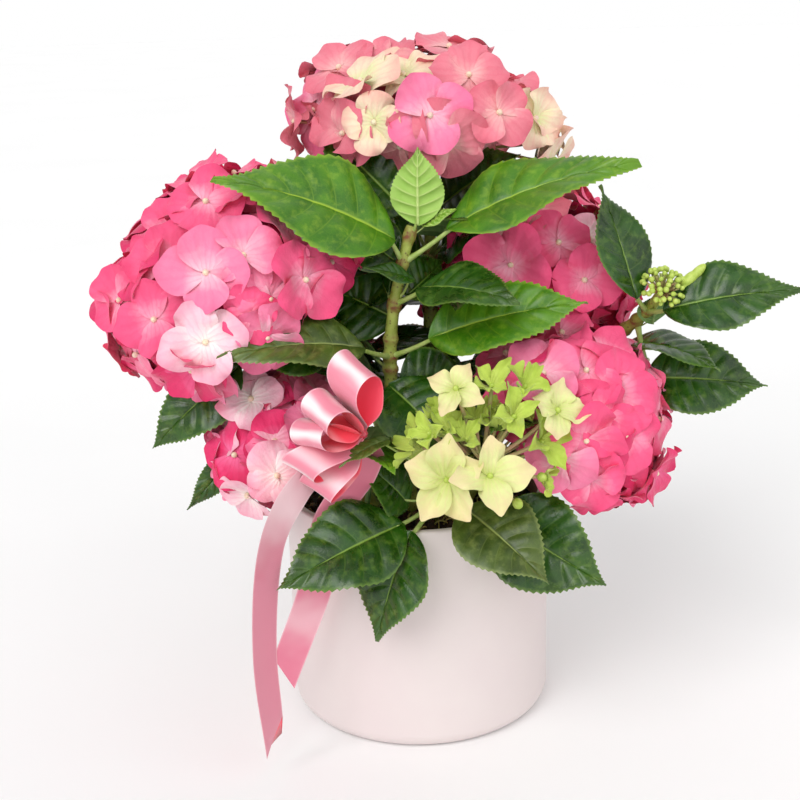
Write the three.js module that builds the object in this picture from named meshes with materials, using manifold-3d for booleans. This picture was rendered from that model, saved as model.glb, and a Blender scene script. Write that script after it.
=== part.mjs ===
// A potted hydrangea: a straight blush-pink pot, soil, ten canes with opposite leaves, nine
// flower clusters and a satin bow on a pick. Millimetres, +Z up, origin under the pot.
import * as THREE from 'three';
import { mergeVertices } from 'three/addons/utils/BufferGeometryUtils.js';
import Module from 'manifold-3d';

const wasm = await Module();
wasm.setup();

// ---------------------------------------------------------------- driving dimensions
const GAP = 0.3; // clear space kept between two nodes
const POT = { radius: 75, height: 130, wall: 5, floor: 6, corner: 9, rim: 1.6, facets: 36 };
const SOIL = {
  top: 118, crown: 3, crownRadius: 42, edgeDrop: 2, edgeWidth: 8, clear: 0.5, facets: 24,
};
// The two middle points of a cane's curve stand at shares of its height: rise and lead. Its lower
// one leans out by flare times the place of its foot.
const CANE = {
  footRadius: 4.4, neckRadius: 2.7, endShare: 0.9, flare: 1.2, rise: 0.45, lead: 0.38, sides: 7,
};
const LEAF = { thickness: 1.7, fold: 0.22, widest: 0.72 };
const STALK = { footRadius: 1.44, endRadius: 0.78, sagAt: 0.55, sag: 2, sink: 4.5, sides: 3 };
const FILLER = {
  stalk: 20, stalkLift: 12, length: 66, shortest: 0.85, spread: 0.35, widthShare: 0.62,
  droop: 0.2, lowest: 4, rise: 26, wander: 30, roll: 24, turn: 90, spacing: 27, margin: 0.04,
};
const FLORET = {
  cup: 0.16, notch: 0.52, corner: 16, thickness: 3.4, wander: 0.5, stalkFoot: 1.82, stalkEnd: 1.3,
  rootShare: 0.6,
};
const GOLDEN_ANGLE = Math.PI * (3 - Math.sqrt(5));
const RIBBON = {
  width: 20, thickness: 1, knotRadius: 6, slant: 0.05, pinchAt: 0.45, pinchShare: 0.75,
};
const PICK = { foot: [-30, -42], clear: 1, reach: [4, 8, -4], radius: 1.5, sides: 5 };
const KNOT = [-25, -86, 188];
const TINY = 1e-6;

// One row per cane: where it leaves the soil, where it ends, which way its end faces, how far
// its middle sways aside, and the shares of its length where leaves start and where they stop.
const SHOOTS = [
  { name: 'centre', foot: [-2, -22], top: [1, -30, 284], face: [0.1, 0, 1], sway: [-13, -4],
    fork: 0.3, neck: 1, seed: 11, pairs: 0, start: 0 },
  { name: 'top', foot: [8, 14], top: [13, 46, 334], face: [0, 0, 1], sway: [0, 0],
    fork: 0.3, neck: 0.78, seed: 12, pairs: 4, start: 20 },
  { name: 'left', foot: [-22, 2], top: [-100, -12, 256], face: [-0.5, -0.35, 0.8], sway: [0, 0],
    fork: 0.28, neck: 0.7, seed: 13, pairs: 3, start: 100 },
  { name: 'right_high', foot: [24, 12], top: [78, 27, 250], face: [0.45, -0.15, 0.85],
    sway: [0, 0], fork: 0.28, neck: 0.72, seed: 14, pairs: 3, start: 70 },
  { name: 'green', foot: [8, -34], top: [34, -80, 172], face: [0.1, -0.4, 0.9], sway: [-4, -8],
    fork: 0.25, neck: 0.8, seed: 17, pairs: 0, start: 0 },
  { name: 'right_low', foot: [26, -14], top: [90, -35, 180], face: [0.6, -0.35, 0.7],
    sway: [4, 0], fork: 0.25, neck: 0.64, seed: 15, pairs: 2, start: 60 },
  { name: 'left_low', foot: [-24, -20], top: [-73, -42, 175], face: [-0.6, -0.4, 0.65],
    sway: [-3, 0], fork: 0.25, neck: 0.64, seed: 16, pairs: 2, start: 120 },
  { name: 'bud', foot: [34, 8], top: [131, -42, 250], face: [0.2, -0.5, 0.85], sway: [10, 26],
    fork: 0.3, neck: 0.92, seed: 18, pairs: 1, start: 150 },
  { name: 'back_left', foot: [-14, 26], top: [-60, 72, 232], face: [-0.4, 0.45, 0.8],
    sway: [0, 0], fork: 0.26, neck: 0.7, seed: 19, pairs: 4, start: 35 },
  { name: 'back_right', foot: [16, 32], top: [56, 86, 212], face: [0.35, 0.5, 0.8],
    sway: [0, 0], fork: 0.26, neck: 0.7, seed: 20, pairs: 4, start: 80 },
];

// Leaves with a place of their own: cane, share of its length where the stalk leaves it,
// base of the blade, heading and rise in degrees, length, width, droop, roll in degrees.
const PLACED_LEAVES = [
  ['centre', 0.89, [-8, -36, 278], -160, 29, 98, 58, 0.18, -50],
  ['centre', 0.89, [18, -36, 282], -12, 25, 104, 50, 0.1, 28],
  ['centre', 0.98, [4, -35, 285], -90, 85, 40, 28, -0.1, 0],
  ['centre', 0.97, [6, -31, 284], -10, 30, 20, 10, 0.1, 40],
  ['centre', 0.75, [4, -44, 254], -38, 5, 60, 40, 0.12, 20],
  ['centre', 0.76, [2, -36, 256], -150, 22, 32, 12, 0.05, -40],
  ['centre', 0.75, [-6, -20, 262], 160, 32, 50, 34, 0.1, -50],
  ['centre', 0.55, [8, -46, 227], -10, 18, 84, 44, 0.1, 40],
  ['centre', 0.55, [-25, -58, 226], -155, 13, 76, 36, 0.22, -30],
  ['centre', 0.4, [-8, -34, 199], 15, 8, 40, 34, 0.1, 60],
  ['centre', 0.62, [-8, -14, 230], 165, 25, 50, 44, 0.1, -60],
  ['left', 0.55, [-32, -8, 242], 170, 10, 38, 30, 0.1, -60],
  ['top', 0.74, [-2, -8, 288], 165, 45, 64, 54, 0.1, -60],
  ['left', 0.66, [-92, -38, 214], -165, -38, 66, 36, 0.14, -60],
  ['left', 0.58, [-44, -46, 226], -160, 0, 44, 36, 0.1, -50],
  ['left_low', 0.58, [-98, -16, 162], -150, -45, 47, 17, 0.1, -70],
  ['bud', 0.86, [118, -38, 243], 128, 61, 64, 34, -0.04, -10],
  ['bud', 0.86, [130, -47, 239], -12, 13, 71, 40, 0.14, 45],
  ['bud', 0.74, [130, -20, 225], -70, 72, 22, 20, 0.1, 0],
  ['bud', 0.8, [128, -14, 193], -14, 0, 66, 44, 0.14, 55],
  ['right_low', 0.3, [38, -67, 135], -28, -23, 70, 52, 0.04, 55],
  ['green', 0.27, [-8, -76, 136], -150, -12, 74, 48, 0.14, -42],
  ['green', 0.27, [-4, -82, 134], -138, -60, 60, 44, 0.1, -10],
  ['green', 0.5, [23, -84, 147], -48, -20, 60, 44, 0.14, 25],
  ['centre', 0.42, [-14, -44, 202], -45, -27, 56, 46, 0.12, 25],
  ['green', 0.4, [-5, -60, 140], -150, 50, 38, 34, 0.1, -60],
  ['green', 0.55, [-14, -84, 185], -145, -8, 32, 14, 0.1, -10],
];

// One row per flower cluster: half width, half height, number of florets, floret radius.
const HEADS = {
  top: { spread: 74, depth: 42, florets: 17, radius: 21 },
  left: { spread: 72, depth: 54, florets: 18, radius: 21 },
  right_high: { spread: 56, depth: 42, florets: 13, radius: 20 },
  right_low: { spread: 54, depth: 44, florets: 14, radius: 20 },
  left_low: { spread: 40, depth: 30, florets: 8, radius: 19 },
  green: { spread: 38, depth: 26, florets: 8, radius: 13 },
  bud: { spread: 12, depth: 9, florets: 0 },
  back_left: { spread: 56, depth: 42, florets: 12, radius: 20 },
  back_right: { spread: 54, depth: 40, florets: 11, radius: 20 },
};
const DOME_EDGE = 112; // degrees from a cluster's pole to its last florets
const WELL_INSIDE = 0.8; // under this, a point lies inside a cluster, and at 1 on its skin

// Colour and roughness of each node, by its whole name or else by the first word of it.
const FINISHES = {
  pot: [0xf1dedc, 0.55],
  soil: [0x2c1b12, 0.95],
  stem: [0x7f9a3c, 0.6],
  leaves: [0x1f5a26, 0.45],
  bow: [0xf27c96, 0.3],
  bow_pick: [0x4f6b35, 0.5],
  head: [0xe8447c, 0.7],
  head_top: [0xf08fae, 0.7],
  head_left_low: [0xf08fae, 0.7],
  head_green: [0xd3e088, 0.7],
  head_bud: [0xd3e088, 0.7],
};

// ---------------------------------------------------------------- helpers
const vec = (p) => new THREE.Vector3(...p);
const rad = THREE.MathUtils.degToRad;
const lerp = THREE.MathUtils.lerp;

function seeded(seed) {
  let state = seed >>> 0;
  return () => {
    state = (Math.imul(state, 1664525) + 1013904223) >>> 0;
    return state / 4294967296;
  };
}

function direction(heading, rise) {
  const flat = Math.cos(rad(rise));
  return new THREE.Vector3(
    flat * Math.cos(rad(heading)), flat * Math.sin(rad(heading)), Math.sin(rad(rise)));
}

// Turns a closed geometry into a solid that can be joined and cut.
function toSolid(geometry) {
  const bare = geometry.clone();
  bare.deleteAttribute('normal');
  bare.deleteAttribute('uv');
  const merged = mergeVertices(bare, 1e-4);
  return new wasm.Manifold(new wasm.Mesh({
    numProp: 3,
    vertProperties: merged.attributes.position.array,
    triVerts: new Uint32Array(merged.index.array),
  }));
}

function toGeometry(solid) {
  const mesh = solid.getMesh();
  const geometry = new THREE.BufferGeometry();
  geometry.setAttribute('position', new THREE.BufferAttribute(mesh.vertProperties, 3));
  geometry.setIndex(new THREE.BufferAttribute(mesh.triVerts, 1));
  geometry.computeVertexNormals();
  return geometry;
}

// Moves every vertex of a geometry to the place that the rule gives for it.
function reshape(geometry, rule) {
  const position = geometry.attributes.position;
  const point = new THREE.Vector3();
  for (let i = 0; i < position.count; i += 1) {
    point.fromBufferAttribute(position, i);
    const moved = rule(point);
    position.setXYZ(i, moved.x, moved.y, moved.z);
  }
  return toSolid(geometry);
}

// How far a point at a share of a length moves on where both ends of the length grow.
function endShift(share, grow) {
  if (share < TINY) return -grow;
  return share > 1 - TINY ? grow : 0;
}

// A tapered, bent rod: a cylinder carried along a stretch of a curve. A curve with a flat foot
// starts with a level cut.
function limb(curve, from, to, radiusFrom, radiusTo, sides, steps, grow = 0) {
  return reshape(new THREE.CylinderGeometry(1, 1, 1, sides, steps), (p) => {
    const share = p.y + 0.5;
    const t = lerp(from, to, share);
    const tangent = t === 0 && curve.flatFoot ? new THREE.Vector3(0, 0, 1) : curve.getTangent(t);
    const normal = new THREE.Vector3(0, 1, 0).cross(tangent);
    if (normal.lengthSq() < 1e-4) normal.set(1, 0, 0);
    normal.normalize();
    const across = normal.clone().cross(tangent);
    const radius = lerp(radiusFrom, radiusTo, share) + grow;
    return curve.getPoint(t)
      .addScaledVector(tangent, endShift(share, grow))
      .addScaledVector(normal, p.x * radius)
      .addScaledVector(across, p.z * radius);
  });
}

// Share of the half width of an egg-shaped blade with a drawn-out tip, 0 at its base.
const bladeOutline = (s) => Math.sin(Math.PI * s ** LEAF.widest);

// A leaf blade: a four-sided ball drawn out into a folded, drooping, lens-thick blade.
function blade(row, grow = 0) {
  const along = direction(row.heading, row.rise);
  const side = along.clone().cross(new THREE.Vector3(0, 0, 1)).normalize();
  side.applyAxisAngle(along, rad(row.roll));
  const up = side.clone().cross(along);
  return reshape(new THREE.SphereGeometry(1, 4, 6), (p) => {
    const s = 1 - Math.acos(THREE.MathUtils.clamp(p.y, -1, 1)) / Math.PI;
    const ring = Math.sin(Math.PI * s);
    const aside = ring > TINY ? p.x / ring : 0;
    const above = ring > TINY ? p.z / ring : 0;
    const wide = aside * (bladeOutline(s) * row.width / 2 + grow);
    const thick = above * (LEAF.thickness / 2 + grow);
    const high = thick + LEAF.fold * Math.abs(wide) - row.droop * row.length * s * s;
    return row.base.clone()
      .addScaledVector(along, s * row.length + endShift(s, grow))
      .addScaledVector(side, wide)
      .addScaledVector(up, high);
  });
}

// The stalk from a cane to the base of a blade, its root sunk in the cane.
function stalk(shoot, row, grow = 0) {
  const root = shoot.curve.getPoint(row.at);
  const inside = row.base.clone().addScaledVector(direction(row.heading, row.rise), STALK.sink);
  const middle = root.clone().lerp(row.base, STALK.sagAt);
  middle.z -= STALK.sag;
  const curve = new THREE.QuadraticBezierCurve3(root, middle, inside);
  return limb(curve, 0, 1, STALK.footRadius, STALK.endRadius, STALK.sides, 3, grow);
}

// ---------------------------------------------------------------- canes
for (const shoot of SHOOTS) {
  const foot = new THREE.Vector3(shoot.foot[0], shoot.foot[1], SOIL.top + SOIL.crown + GAP);
  const top = vec(shoot.top);
  const face = vec(shoot.face).normalize();
  const height = top.z - foot.z;
  const sway = new THREE.Vector3(shoot.sway[0], shoot.sway[1], 0);
  const lower = new THREE.Vector3(
    foot.x * CANE.flare, foot.y * CANE.flare, foot.z + CANE.rise * height).add(sway);
  const upper = top.clone().addScaledVector(face, -CANE.lead * height).add(sway);
  shoot.curve = new THREE.CubicBezierCurve3(foot, lower, upper, top);
  shoot.curve.flatFoot = true;
  shoot.gap = GAP / shoot.curve.getLength();
  shoot.face = face;
  shoot.radius = (t) => lerp(CANE.footRadius, CANE.neckRadius, t);
}

// ---------------------------------------------------------------- keeping nodes apart
const placed = []; // every solid so far, with the node that owns it
const nodeParts = new Map(); // node name -> its solids

function boxesMeet(a, b) {
  for (let k = 0; k < 3; k += 1) {
    if (a.min[k] > b.max[k] || b.min[k] > a.max[k]) return false;
  }
  return true;
}

function keep(owner, solid) {
  placed.push({ owner, solid, box: solid.boundingBox() });
  if (!nodeParts.has(owner)) nodeParts.set(owner, []);
  nodeParts.get(owner).push(solid);
}

function isClear(owner, grown) {
  const box = grown.boundingBox();
  return placed.every((other) => other.owner === owner || !boxesMeet(box, other.box)
    || grown.intersect(other.solid).isEmpty());
}

// Keeps the solids that make(grow) gives for one twig, if they stay clear of other nodes.
function keepIfClear(owner, makers) {
  if (!makers.every((make) => isClear(owner, make(GAP)))) return false;
  makers.forEach((make) => keep(owner, make(0)));
  return true;
}

// ---------------------------------------------------------------- pot and soil
function lathe(outline, facets) {
  const points = outline.map(([x, z]) => new THREE.Vector2(x, z));
  return new THREE.LatheGeometry(points, facets).rotateX(Math.PI / 2);
}

function potGeometry() {
  const { radius, height, wall, floor, corner, rim, facets } = POT;
  const arc = [0, 30, 60, 90].map((deg) => [
    radius - corner + corner * Math.sin(rad(deg)), corner - corner * Math.cos(rad(deg))]);
  const outline = [[0, 0], ...arc, [radius, height - rim], [radius - rim, height],
    [radius - wall + rim, height], [radius - wall, height - rim], [radius - wall, floor],
    [0, floor]];
  return lathe(outline, facets);
}

function soilGeometry() {
  const wide = POT.radius - POT.wall - SOIL.clear;
  const low = POT.floor + GAP;
  const crown = SOIL.top + SOIL.crown;
  const outline = [[0, low], [wide, low], [wide, SOIL.top - SOIL.edgeDrop],
    [wide - SOIL.edgeWidth, SOIL.top], [SOIL.crownRadius, crown], [0, crown]];
  return lathe(outline, SOIL.facets);
}

keep('pot', toSolid(potGeometry()));
keep('soil', toSolid(soilGeometry()));

// ---------------------------------------------------------------- canes into stems
for (const shoot of SHOOTS) {
  const { curve, fork, neck, gap, radius } = shoot;
  const [atFoot, atFork, atNeck] = [radius(0), radius(fork), radius(neck)];
  keep(`stem_${shoot.name}`, limb(curve, 0, fork, atFoot, atFork, CANE.sides, 3));
  keep(`leaves_${shoot.name}`, limb(curve, fork + gap, neck, atFork, atNeck, CANE.sides, 6));
  if (neck < 1) {
    const end = atNeck * CANE.endShare;
    keep(`head_${shoot.name}`, limb(curve, neck + gap, 1, atNeck, end, CANE.sides, 3));
  }
}

// ---------------------------------------------------------------- bow
// The drop-shaped outline of a ribbon loop, or its inside, set in by the ribbon's thickness.
function dropOutline(length, halfHeight, inset) {
  const shape = new THREE.Path();
  const half = halfHeight - inset;
  const start = inset * 2;
  const turn = length - halfHeight;
  const end = length - inset;
  const pinch = length * RIBBON.pinchAt; // where the two sides start to part
  const swell = half * RIBBON.pinchShare;
  shape.moveTo(start, 0);
  shape.quadraticCurveTo(pinch, swell, turn, half);
  shape.quadraticCurveTo(end, half, end, 0);
  shape.quadraticCurveTo(end, -half, turn, -half);
  shape.quadraticCurveTo(pinch, -swell, start, 0);
  return shape.getPoints(2).slice(0, -1);
}

// One ribbon loop: a drop-shaped band from the knot to a tip, its width lying along an axis.
function ribbonLoop(tip, axis, half) {
  const length = tip.length();
  const band = new THREE.Shape(dropOutline(length, half, 0));
  band.holes.push(new THREE.Path(dropOutline(length, half, RIBBON.thickness).reverse()));
  const geometry = new THREE.ExtrudeGeometry(
    band, { depth: RIBBON.width, bevelEnabled: false, steps: 1 });
  geometry.translate(0, 0, -RIBBON.width / 2);
  const out = tip.clone().normalize();
  const across = axis.clone().normalize();
  const up = across.clone().cross(out).normalize();
  const frame = new THREE.Matrix4().makeBasis(out, up, across).setPosition(...KNOT);
  return toSolid(geometry.applyMatrix4(frame));
}

const LOOPS = [
  { tip: [-6, -12, 40], axis: [0.7, -0.35, -0.6], half: 10 },
  { tip: [-23, -18, 21], axis: [0.65, -0.6, -0.45], half: 8 },
  { tip: [-30, -16, 7], axis: [0.8, -0.6, 0], half: 7 },
  { tip: [-35, -13, -13], axis: [0.8, -0.4, -0.4], half: 6 },
  { tip: [-27, -9, -26], axis: [0.8, -0.4, -0.45], half: 5 },
];
for (const { tip, axis, half } of LOOPS) keep('bow', ribbonLoop(vec(tip), vec(axis), half));
keep('bow', toSolid(new THREE.SphereGeometry(RIBBON.knotRadius, 8, 5).translate(...KNOT)));

// A flat tail of ribbon along a curve; its face turns from `faceFrom` to `faceTo` degrees.
function ribbonTail(points, faceFrom, faceTo) {
  const curve = new THREE.CatmullRomCurve3(points.map(vec));
  return reshape(new THREE.BoxGeometry(RIBBON.width, RIBBON.thickness, 1, 1, 1, 10), (p) => {
    const t = 0.5 - p.z;
    const tangent = curve.getTangent(t);
    const side = new THREE.Vector3(1, 0, 0).applyAxisAngle(
      new THREE.Vector3(0, 0, 1), rad(lerp(faceFrom, faceTo, t)));
    side.addScaledVector(tangent, -side.dot(tangent)).normalize();
    const face = side.clone().cross(tangent);
    const cutBack = p.x > 0 && t > 1 - TINY ? RIBBON.slant : 0;
    return curve.getPoint(t - cutBack)
      .addScaledVector(side, p.x)
      .addScaledVector(face, p.y);
  });
}

const LEFT_TAIL = [[-27, -82, 182], [-42, -82, 174], [-60, -92, 163], [-75, -104, 135],
  [-82, -98, 75], [-80, -91, 14]];
const RIGHT_TAIL = [[-24, -84, 184], [-31, -78, 163], [-46, -74, 138], [-56, -78, 100],
  [-71, -84, 63]];
keep('bow', ribbonTail(LEFT_TAIL, 30, 64));
keep('bow', ribbonTail(RIGHT_TAIL, 10, 30));

function pickGeometry() {
  const foot = new THREE.Vector3(...PICK.foot, SOIL.top + SOIL.crown + PICK.clear);
  const end = vec(KNOT).add(vec(PICK.reach));
  return limb(new THREE.LineCurve3(foot, end), 0, 1, PICK.radius, PICK.radius, PICK.sides, 1);
}
keep('bow_pick', pickGeometry());

// ---------------------------------------------------------------- leaves with a place
const shootNamed = Object.fromEntries(SHOOTS.map((shoot) => [shoot.name, shoot]));
const LEAF_SHARES = [1, 0.88, 0.76]; // a leaf with no room for its full size is smaller
const bladeMiddles = [];

const bladeMiddle = ({ base, heading, rise, length }) => (
  base.clone().addScaledVector(direction(heading, rise), length / 2));

function growLeaf(shoot, row) {
  const makers = [(grow) => blade(row, grow), (grow) => stalk(shoot, row, grow)];
  const done = keepIfClear(`leaves_${shoot.name}`, makers);
  if (done) bladeMiddles.push(bladeMiddle(row));
  return done;
}

for (const [name, at, base, heading, rise, length, width, droop, roll] of PLACED_LEAVES) {
  const row = { at, base: vec(base), heading, rise, length, width, droop, roll };
  LEAF_SHARES.some((share) => growLeaf(shootNamed[name],
    { ...row, length: length * share, width: width * share }));
}

// ---------------------------------------------------------------- flower cluster cores
function headFrame(shoot) {
  const pole = shoot.face;
  const side = new THREE.Vector3(0, 1, 0).cross(pole).normalize();
  return { pole, side, across: pole.clone().cross(side), centre: shoot.curve.getPoint(1) };
}

function core(frame, size, scale, grow = 0) {
  const flat = size.spread * scale + grow;
  const deep = size.depth * scale + grow;
  return reshape(new THREE.SphereGeometry(1, 8, 5), (p) => frame.centre.clone()
    .addScaledVector(frame.side, p.x * flat).addScaledVector(frame.pole, p.y * deep)
    .addScaledVector(frame.across, -p.z * flat));
}

const CORE_SHARES = [0.68, 0.6, 0.5, 0.4, 0.3];
for (const shoot of SHOOTS.filter((row) => HEADS[row.name])) {
  shoot.frame = headFrame(shoot);
  const owner = `head_${shoot.name}`;
  shoot.core = CORE_SHARES.find((share) => keepIfClear(owner,
    [(grow) => core(shoot.frame, HEADS[shoot.name], share, grow)]));
}

// ---------------------------------------------------------------- leaves by rule
// Whether a point lies well inside a flower cluster.
function insideHead(point) {
  return SHOOTS.some((shoot) => {
    const size = HEADS[shoot.name];
    if (!size) return false;
    const offset = point.clone().sub(shoot.frame.centre);
    const high = offset.dot(shoot.frame.pole);
    const flat = offset.addScaledVector(shoot.frame.pole, -high).length();
    return (high / size.depth) ** 2 + (flat / size.spread) ** 2 < WELL_INSIDE;
  });
}

// The leaf that a cane grows at a share of its length, with its size and lie drawn by chance.
function ruledLeaf(shoot, at, heading, random) {
  const wandering = heading + FILLER.wander * (random() - 0.5);
  const rise = FILLER.lowest + FILLER.rise * random();
  const length = FILLER.length * (FILLER.shortest + FILLER.spread * random());
  const roll = FILLER.roll * (random() - 0.5);
  const base = shoot.curve.getPoint(at)
    .addScaledVector(direction(wandering, rise + FILLER.stalkLift), FILLER.stalk);
  return {
    at, base, heading: wandering, rise, length, roll,
    width: FILLER.widthShare * length, droop: FILLER.droop,
  };
}

for (const shoot of SHOOTS) {
  const random = seeded(shoot.seed);
  for (let pair = 0; pair < shoot.pairs; pair += 1) {
    const share = (pair + 0.5) / shoot.pairs;
    const at = lerp(shoot.fork + FILLER.margin, shoot.neck - FILLER.margin, share);
    for (const turn of [0, 180]) {
      const row = ruledLeaf(shoot, at, shoot.start + FILLER.turn * pair + turn, random);
      const middle = bladeMiddle(row);
      const crowded = bladeMiddles.some((other) => other.distanceTo(middle) < FILLER.spacing);
      if (!crowded && !insideHead(middle)) growLeaf(shoot, row);
    }
  }
}

// ---------------------------------------------------------------- florets
// A floret of four broad sepals: a flat twelve-sided ball. Of its rim's points, each third one is
// a notch between two sepals, and the two after it are the corners of one sepal.
const RIM_ANGLES = [0, FLORET.corner, 90 - FLORET.corner];

function floret(centre, normal, spin, radius, grow = 0) {
  const turn = new THREE.Quaternion().setFromUnitVectors(new THREE.Vector3(0, 1, 0), normal);
  return reshape(new THREE.SphereGeometry(1, 12, 2), (p) => {
    if (Math.hypot(p.x, p.z) < 0.5) {
      return centre.clone().addScaledVector(normal, p.y * (FLORET.thickness / 2 + grow));
    }
    const step = Math.round(Math.atan2(p.z, p.x) / (Math.PI / 6) + 12);
    const [sepal, corner] = [Math.floor(step / 3), step % 3];
    const angle = spin + rad(90 * sepal + RIM_ANGLES[corner]);
    const reach = radius * (corner === 0 ? FLORET.notch : 1) + grow;
    const lift = corner === 0 ? 0 : FLORET.cup * radius;
    return new THREE.Vector3(Math.cos(angle) * reach, lift, Math.sin(angle) * reach)
      .applyQuaternion(turn).add(centre);
  });
}

// A floret with no room is smaller, then also nearer the cluster's middle: [size, reach] shares.
const FLORET_CHOICES = [[1, 1], [0.85, 1], [0.85, 0.9], [0.7, 0.9], [0.6, 0.8], [0.5, 0.72]];

// A place on the skin of a cluster: its polar angle from the pole, and the angle round the pole.
function skinPlace(frame, size, polar, around) {
  const { centre, pole, side, across } = frame;
  const flat = side.clone().multiplyScalar(Math.sin(polar) * Math.cos(around))
    .addScaledVector(across, Math.sin(polar) * Math.sin(around));
  const seat = centre.clone().addScaledVector(flat, size.spread)
    .addScaledVector(pole, Math.cos(polar) * size.depth);
  const normal = flat.multiplyScalar(1 / size.spread)
    .addScaledVector(pole, Math.cos(polar) / size.depth).normalize();
  return { seat, normal };
}

function growFloret(shoot, { seat, normal }, spin) {
  const { centre } = shoot.frame;
  const { radius } = HEADS[shoot.name];
  const root = centre.clone().lerp(seat, shoot.core * FLORET.rootShare);
  FLORET_CHOICES.some(([scale, reach]) => {
    const place = centre.clone().lerp(seat, reach);
    const line = new THREE.LineCurve3(root, place);
    return keepIfClear(`head_${shoot.name}`, [
      (grow) => floret(place, normal, spin, radius * scale, grow),
      (grow) => limb(line, 0, 1, FLORET.stalkFoot, FLORET.stalkEnd, 3, 1, grow),
    ]);
  });
}

for (const shoot of SHOOTS.filter((row) => HEADS[row.name])) {
  const size = HEADS[shoot.name];
  const random = seeded(shoot.seed + 100);
  for (let k = 0; k < size.florets; k += 1) {
    const polar = Math.acos(1 - (1 - Math.cos(rad(DOME_EDGE))) * (k + 0.5) / size.florets);
    const around = k * GOLDEN_ANGLE + FLORET.wander * random();
    growFloret(shoot, skinPlace(shoot.frame, size, polar, around), random() * Math.PI);
  }
}

// ---------------------------------------------------------------- the assembly
const SMALLEST_EDGE = 0.2;

// Fuses a node's solids and keeps the one body that holds together.
function fuse(solids) {
  const joined = solids.reduce((sum, solid) => sum.add(solid)).simplify(SMALLEST_EDGE);
  return joined.decompose().sort((a, b) => b.volume() - a.volume())[0];
}

const plant = new THREE.Group();
for (const [name, solids] of nodeParts) {
  const [color, roughness] = FINISHES[name] ?? FINISHES[name.split('_')[0]];
  const material = new THREE.MeshStandardMaterial({ color, roughness, metalness: 0 });
  const mesh = new THREE.Mesh(toGeometry(fuse(solids)), material);
  mesh.name = name;
  plant.add(mesh);
}
export default plant;
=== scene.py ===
# A potted hydrangea, dressed: real leaves, florets, canes, soil, pot and satin bow, grown by the
# same rule as the solids they stand for. Shapes are worked out in millimetres, and turned to
# metres where each mesh is made.
import math
from collections import namedtuple
from functools import lru_cache
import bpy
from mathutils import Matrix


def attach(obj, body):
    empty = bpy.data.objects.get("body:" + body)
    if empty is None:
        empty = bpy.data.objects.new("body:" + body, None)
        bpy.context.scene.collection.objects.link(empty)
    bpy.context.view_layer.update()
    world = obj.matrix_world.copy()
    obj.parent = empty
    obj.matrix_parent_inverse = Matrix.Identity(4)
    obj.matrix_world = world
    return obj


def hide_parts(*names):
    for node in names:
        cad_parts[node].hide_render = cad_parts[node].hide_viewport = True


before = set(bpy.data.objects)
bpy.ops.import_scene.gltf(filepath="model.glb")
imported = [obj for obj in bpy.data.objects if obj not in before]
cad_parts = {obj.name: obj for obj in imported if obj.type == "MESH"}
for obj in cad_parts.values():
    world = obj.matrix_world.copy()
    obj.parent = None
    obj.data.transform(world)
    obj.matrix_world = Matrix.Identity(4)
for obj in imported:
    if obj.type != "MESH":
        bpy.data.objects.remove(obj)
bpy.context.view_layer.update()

from types import SimpleNamespace

import bpy
import numpy as np
from mathutils import Matrix, Vector, noise

MM = 0.001
BODY = "root"

# ---------------------------------------------------------------- driving dimensions
# Lengths in millimetres, turns in degrees, and otherwise shares and counts.
GAP = 0.3
POT = SimpleNamespace(radius=75, height=130, wall=5, floor=6, corner=9, rim=1.6, facets=128,
                      inner_levels=(124, 118, 100, 60, 20))
SOIL = SimpleNamespace(top=118, crown=3, wide=69.5, facets=96, rings=48, crumbs=520, threads=150)
CANE = SimpleNamespace(foot=4.4, neck=2.7, rise=0.45, lead=0.38, flare=1.2, sides=14, rows=90,
                       swelling=0.32, joint_share=0.014)
BLADE = SimpleNamespace(veins=8, fold=0.22, sweep=0.16, thickness=0.5, stalk=1.5)
FILLER = SimpleNamespace(stalk=20, length=66, width_share=0.62, spacing=21, turn=90, extra=1,
                         droop=0.2, dark=0.8)
INNER = SimpleNamespace(shares=(0.36, 0.5, 0.62, 0.74), stalk=12, length=50, width_share=0.72,
                        spacing=13, droop=0.1, reach=62, back=12, over_pot=8)
SEPAL = SimpleNamespace(steps=10, claw=0.3, half_width=0.6, thickness=0.28)
HEAD = SimpleNamespace(edge=112, florets_per_solid=2.5, inner_share=0.45, inner_reach=0.68,
                       step=3.2, sunk=0.12, spacing=0.62, toward_camera=0.7, leafless=0.8)
GOLDEN_ANGLE = math.pi * (3 - math.sqrt(5))
HEAD_SEED, BLADE_SEED, INNER_SEED = 100, 200, 300  # added to a cane's own seed
RIBBON = SimpleNamespace(width=20, thickness=0.5, knot=3.2, pick=1.5, columns=9, loop_rows=57,
                         tail_rows=72)
KNOT = np.array([-25.0, -86.0, 188.0])
PHOTO_SIDE = 800

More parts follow.
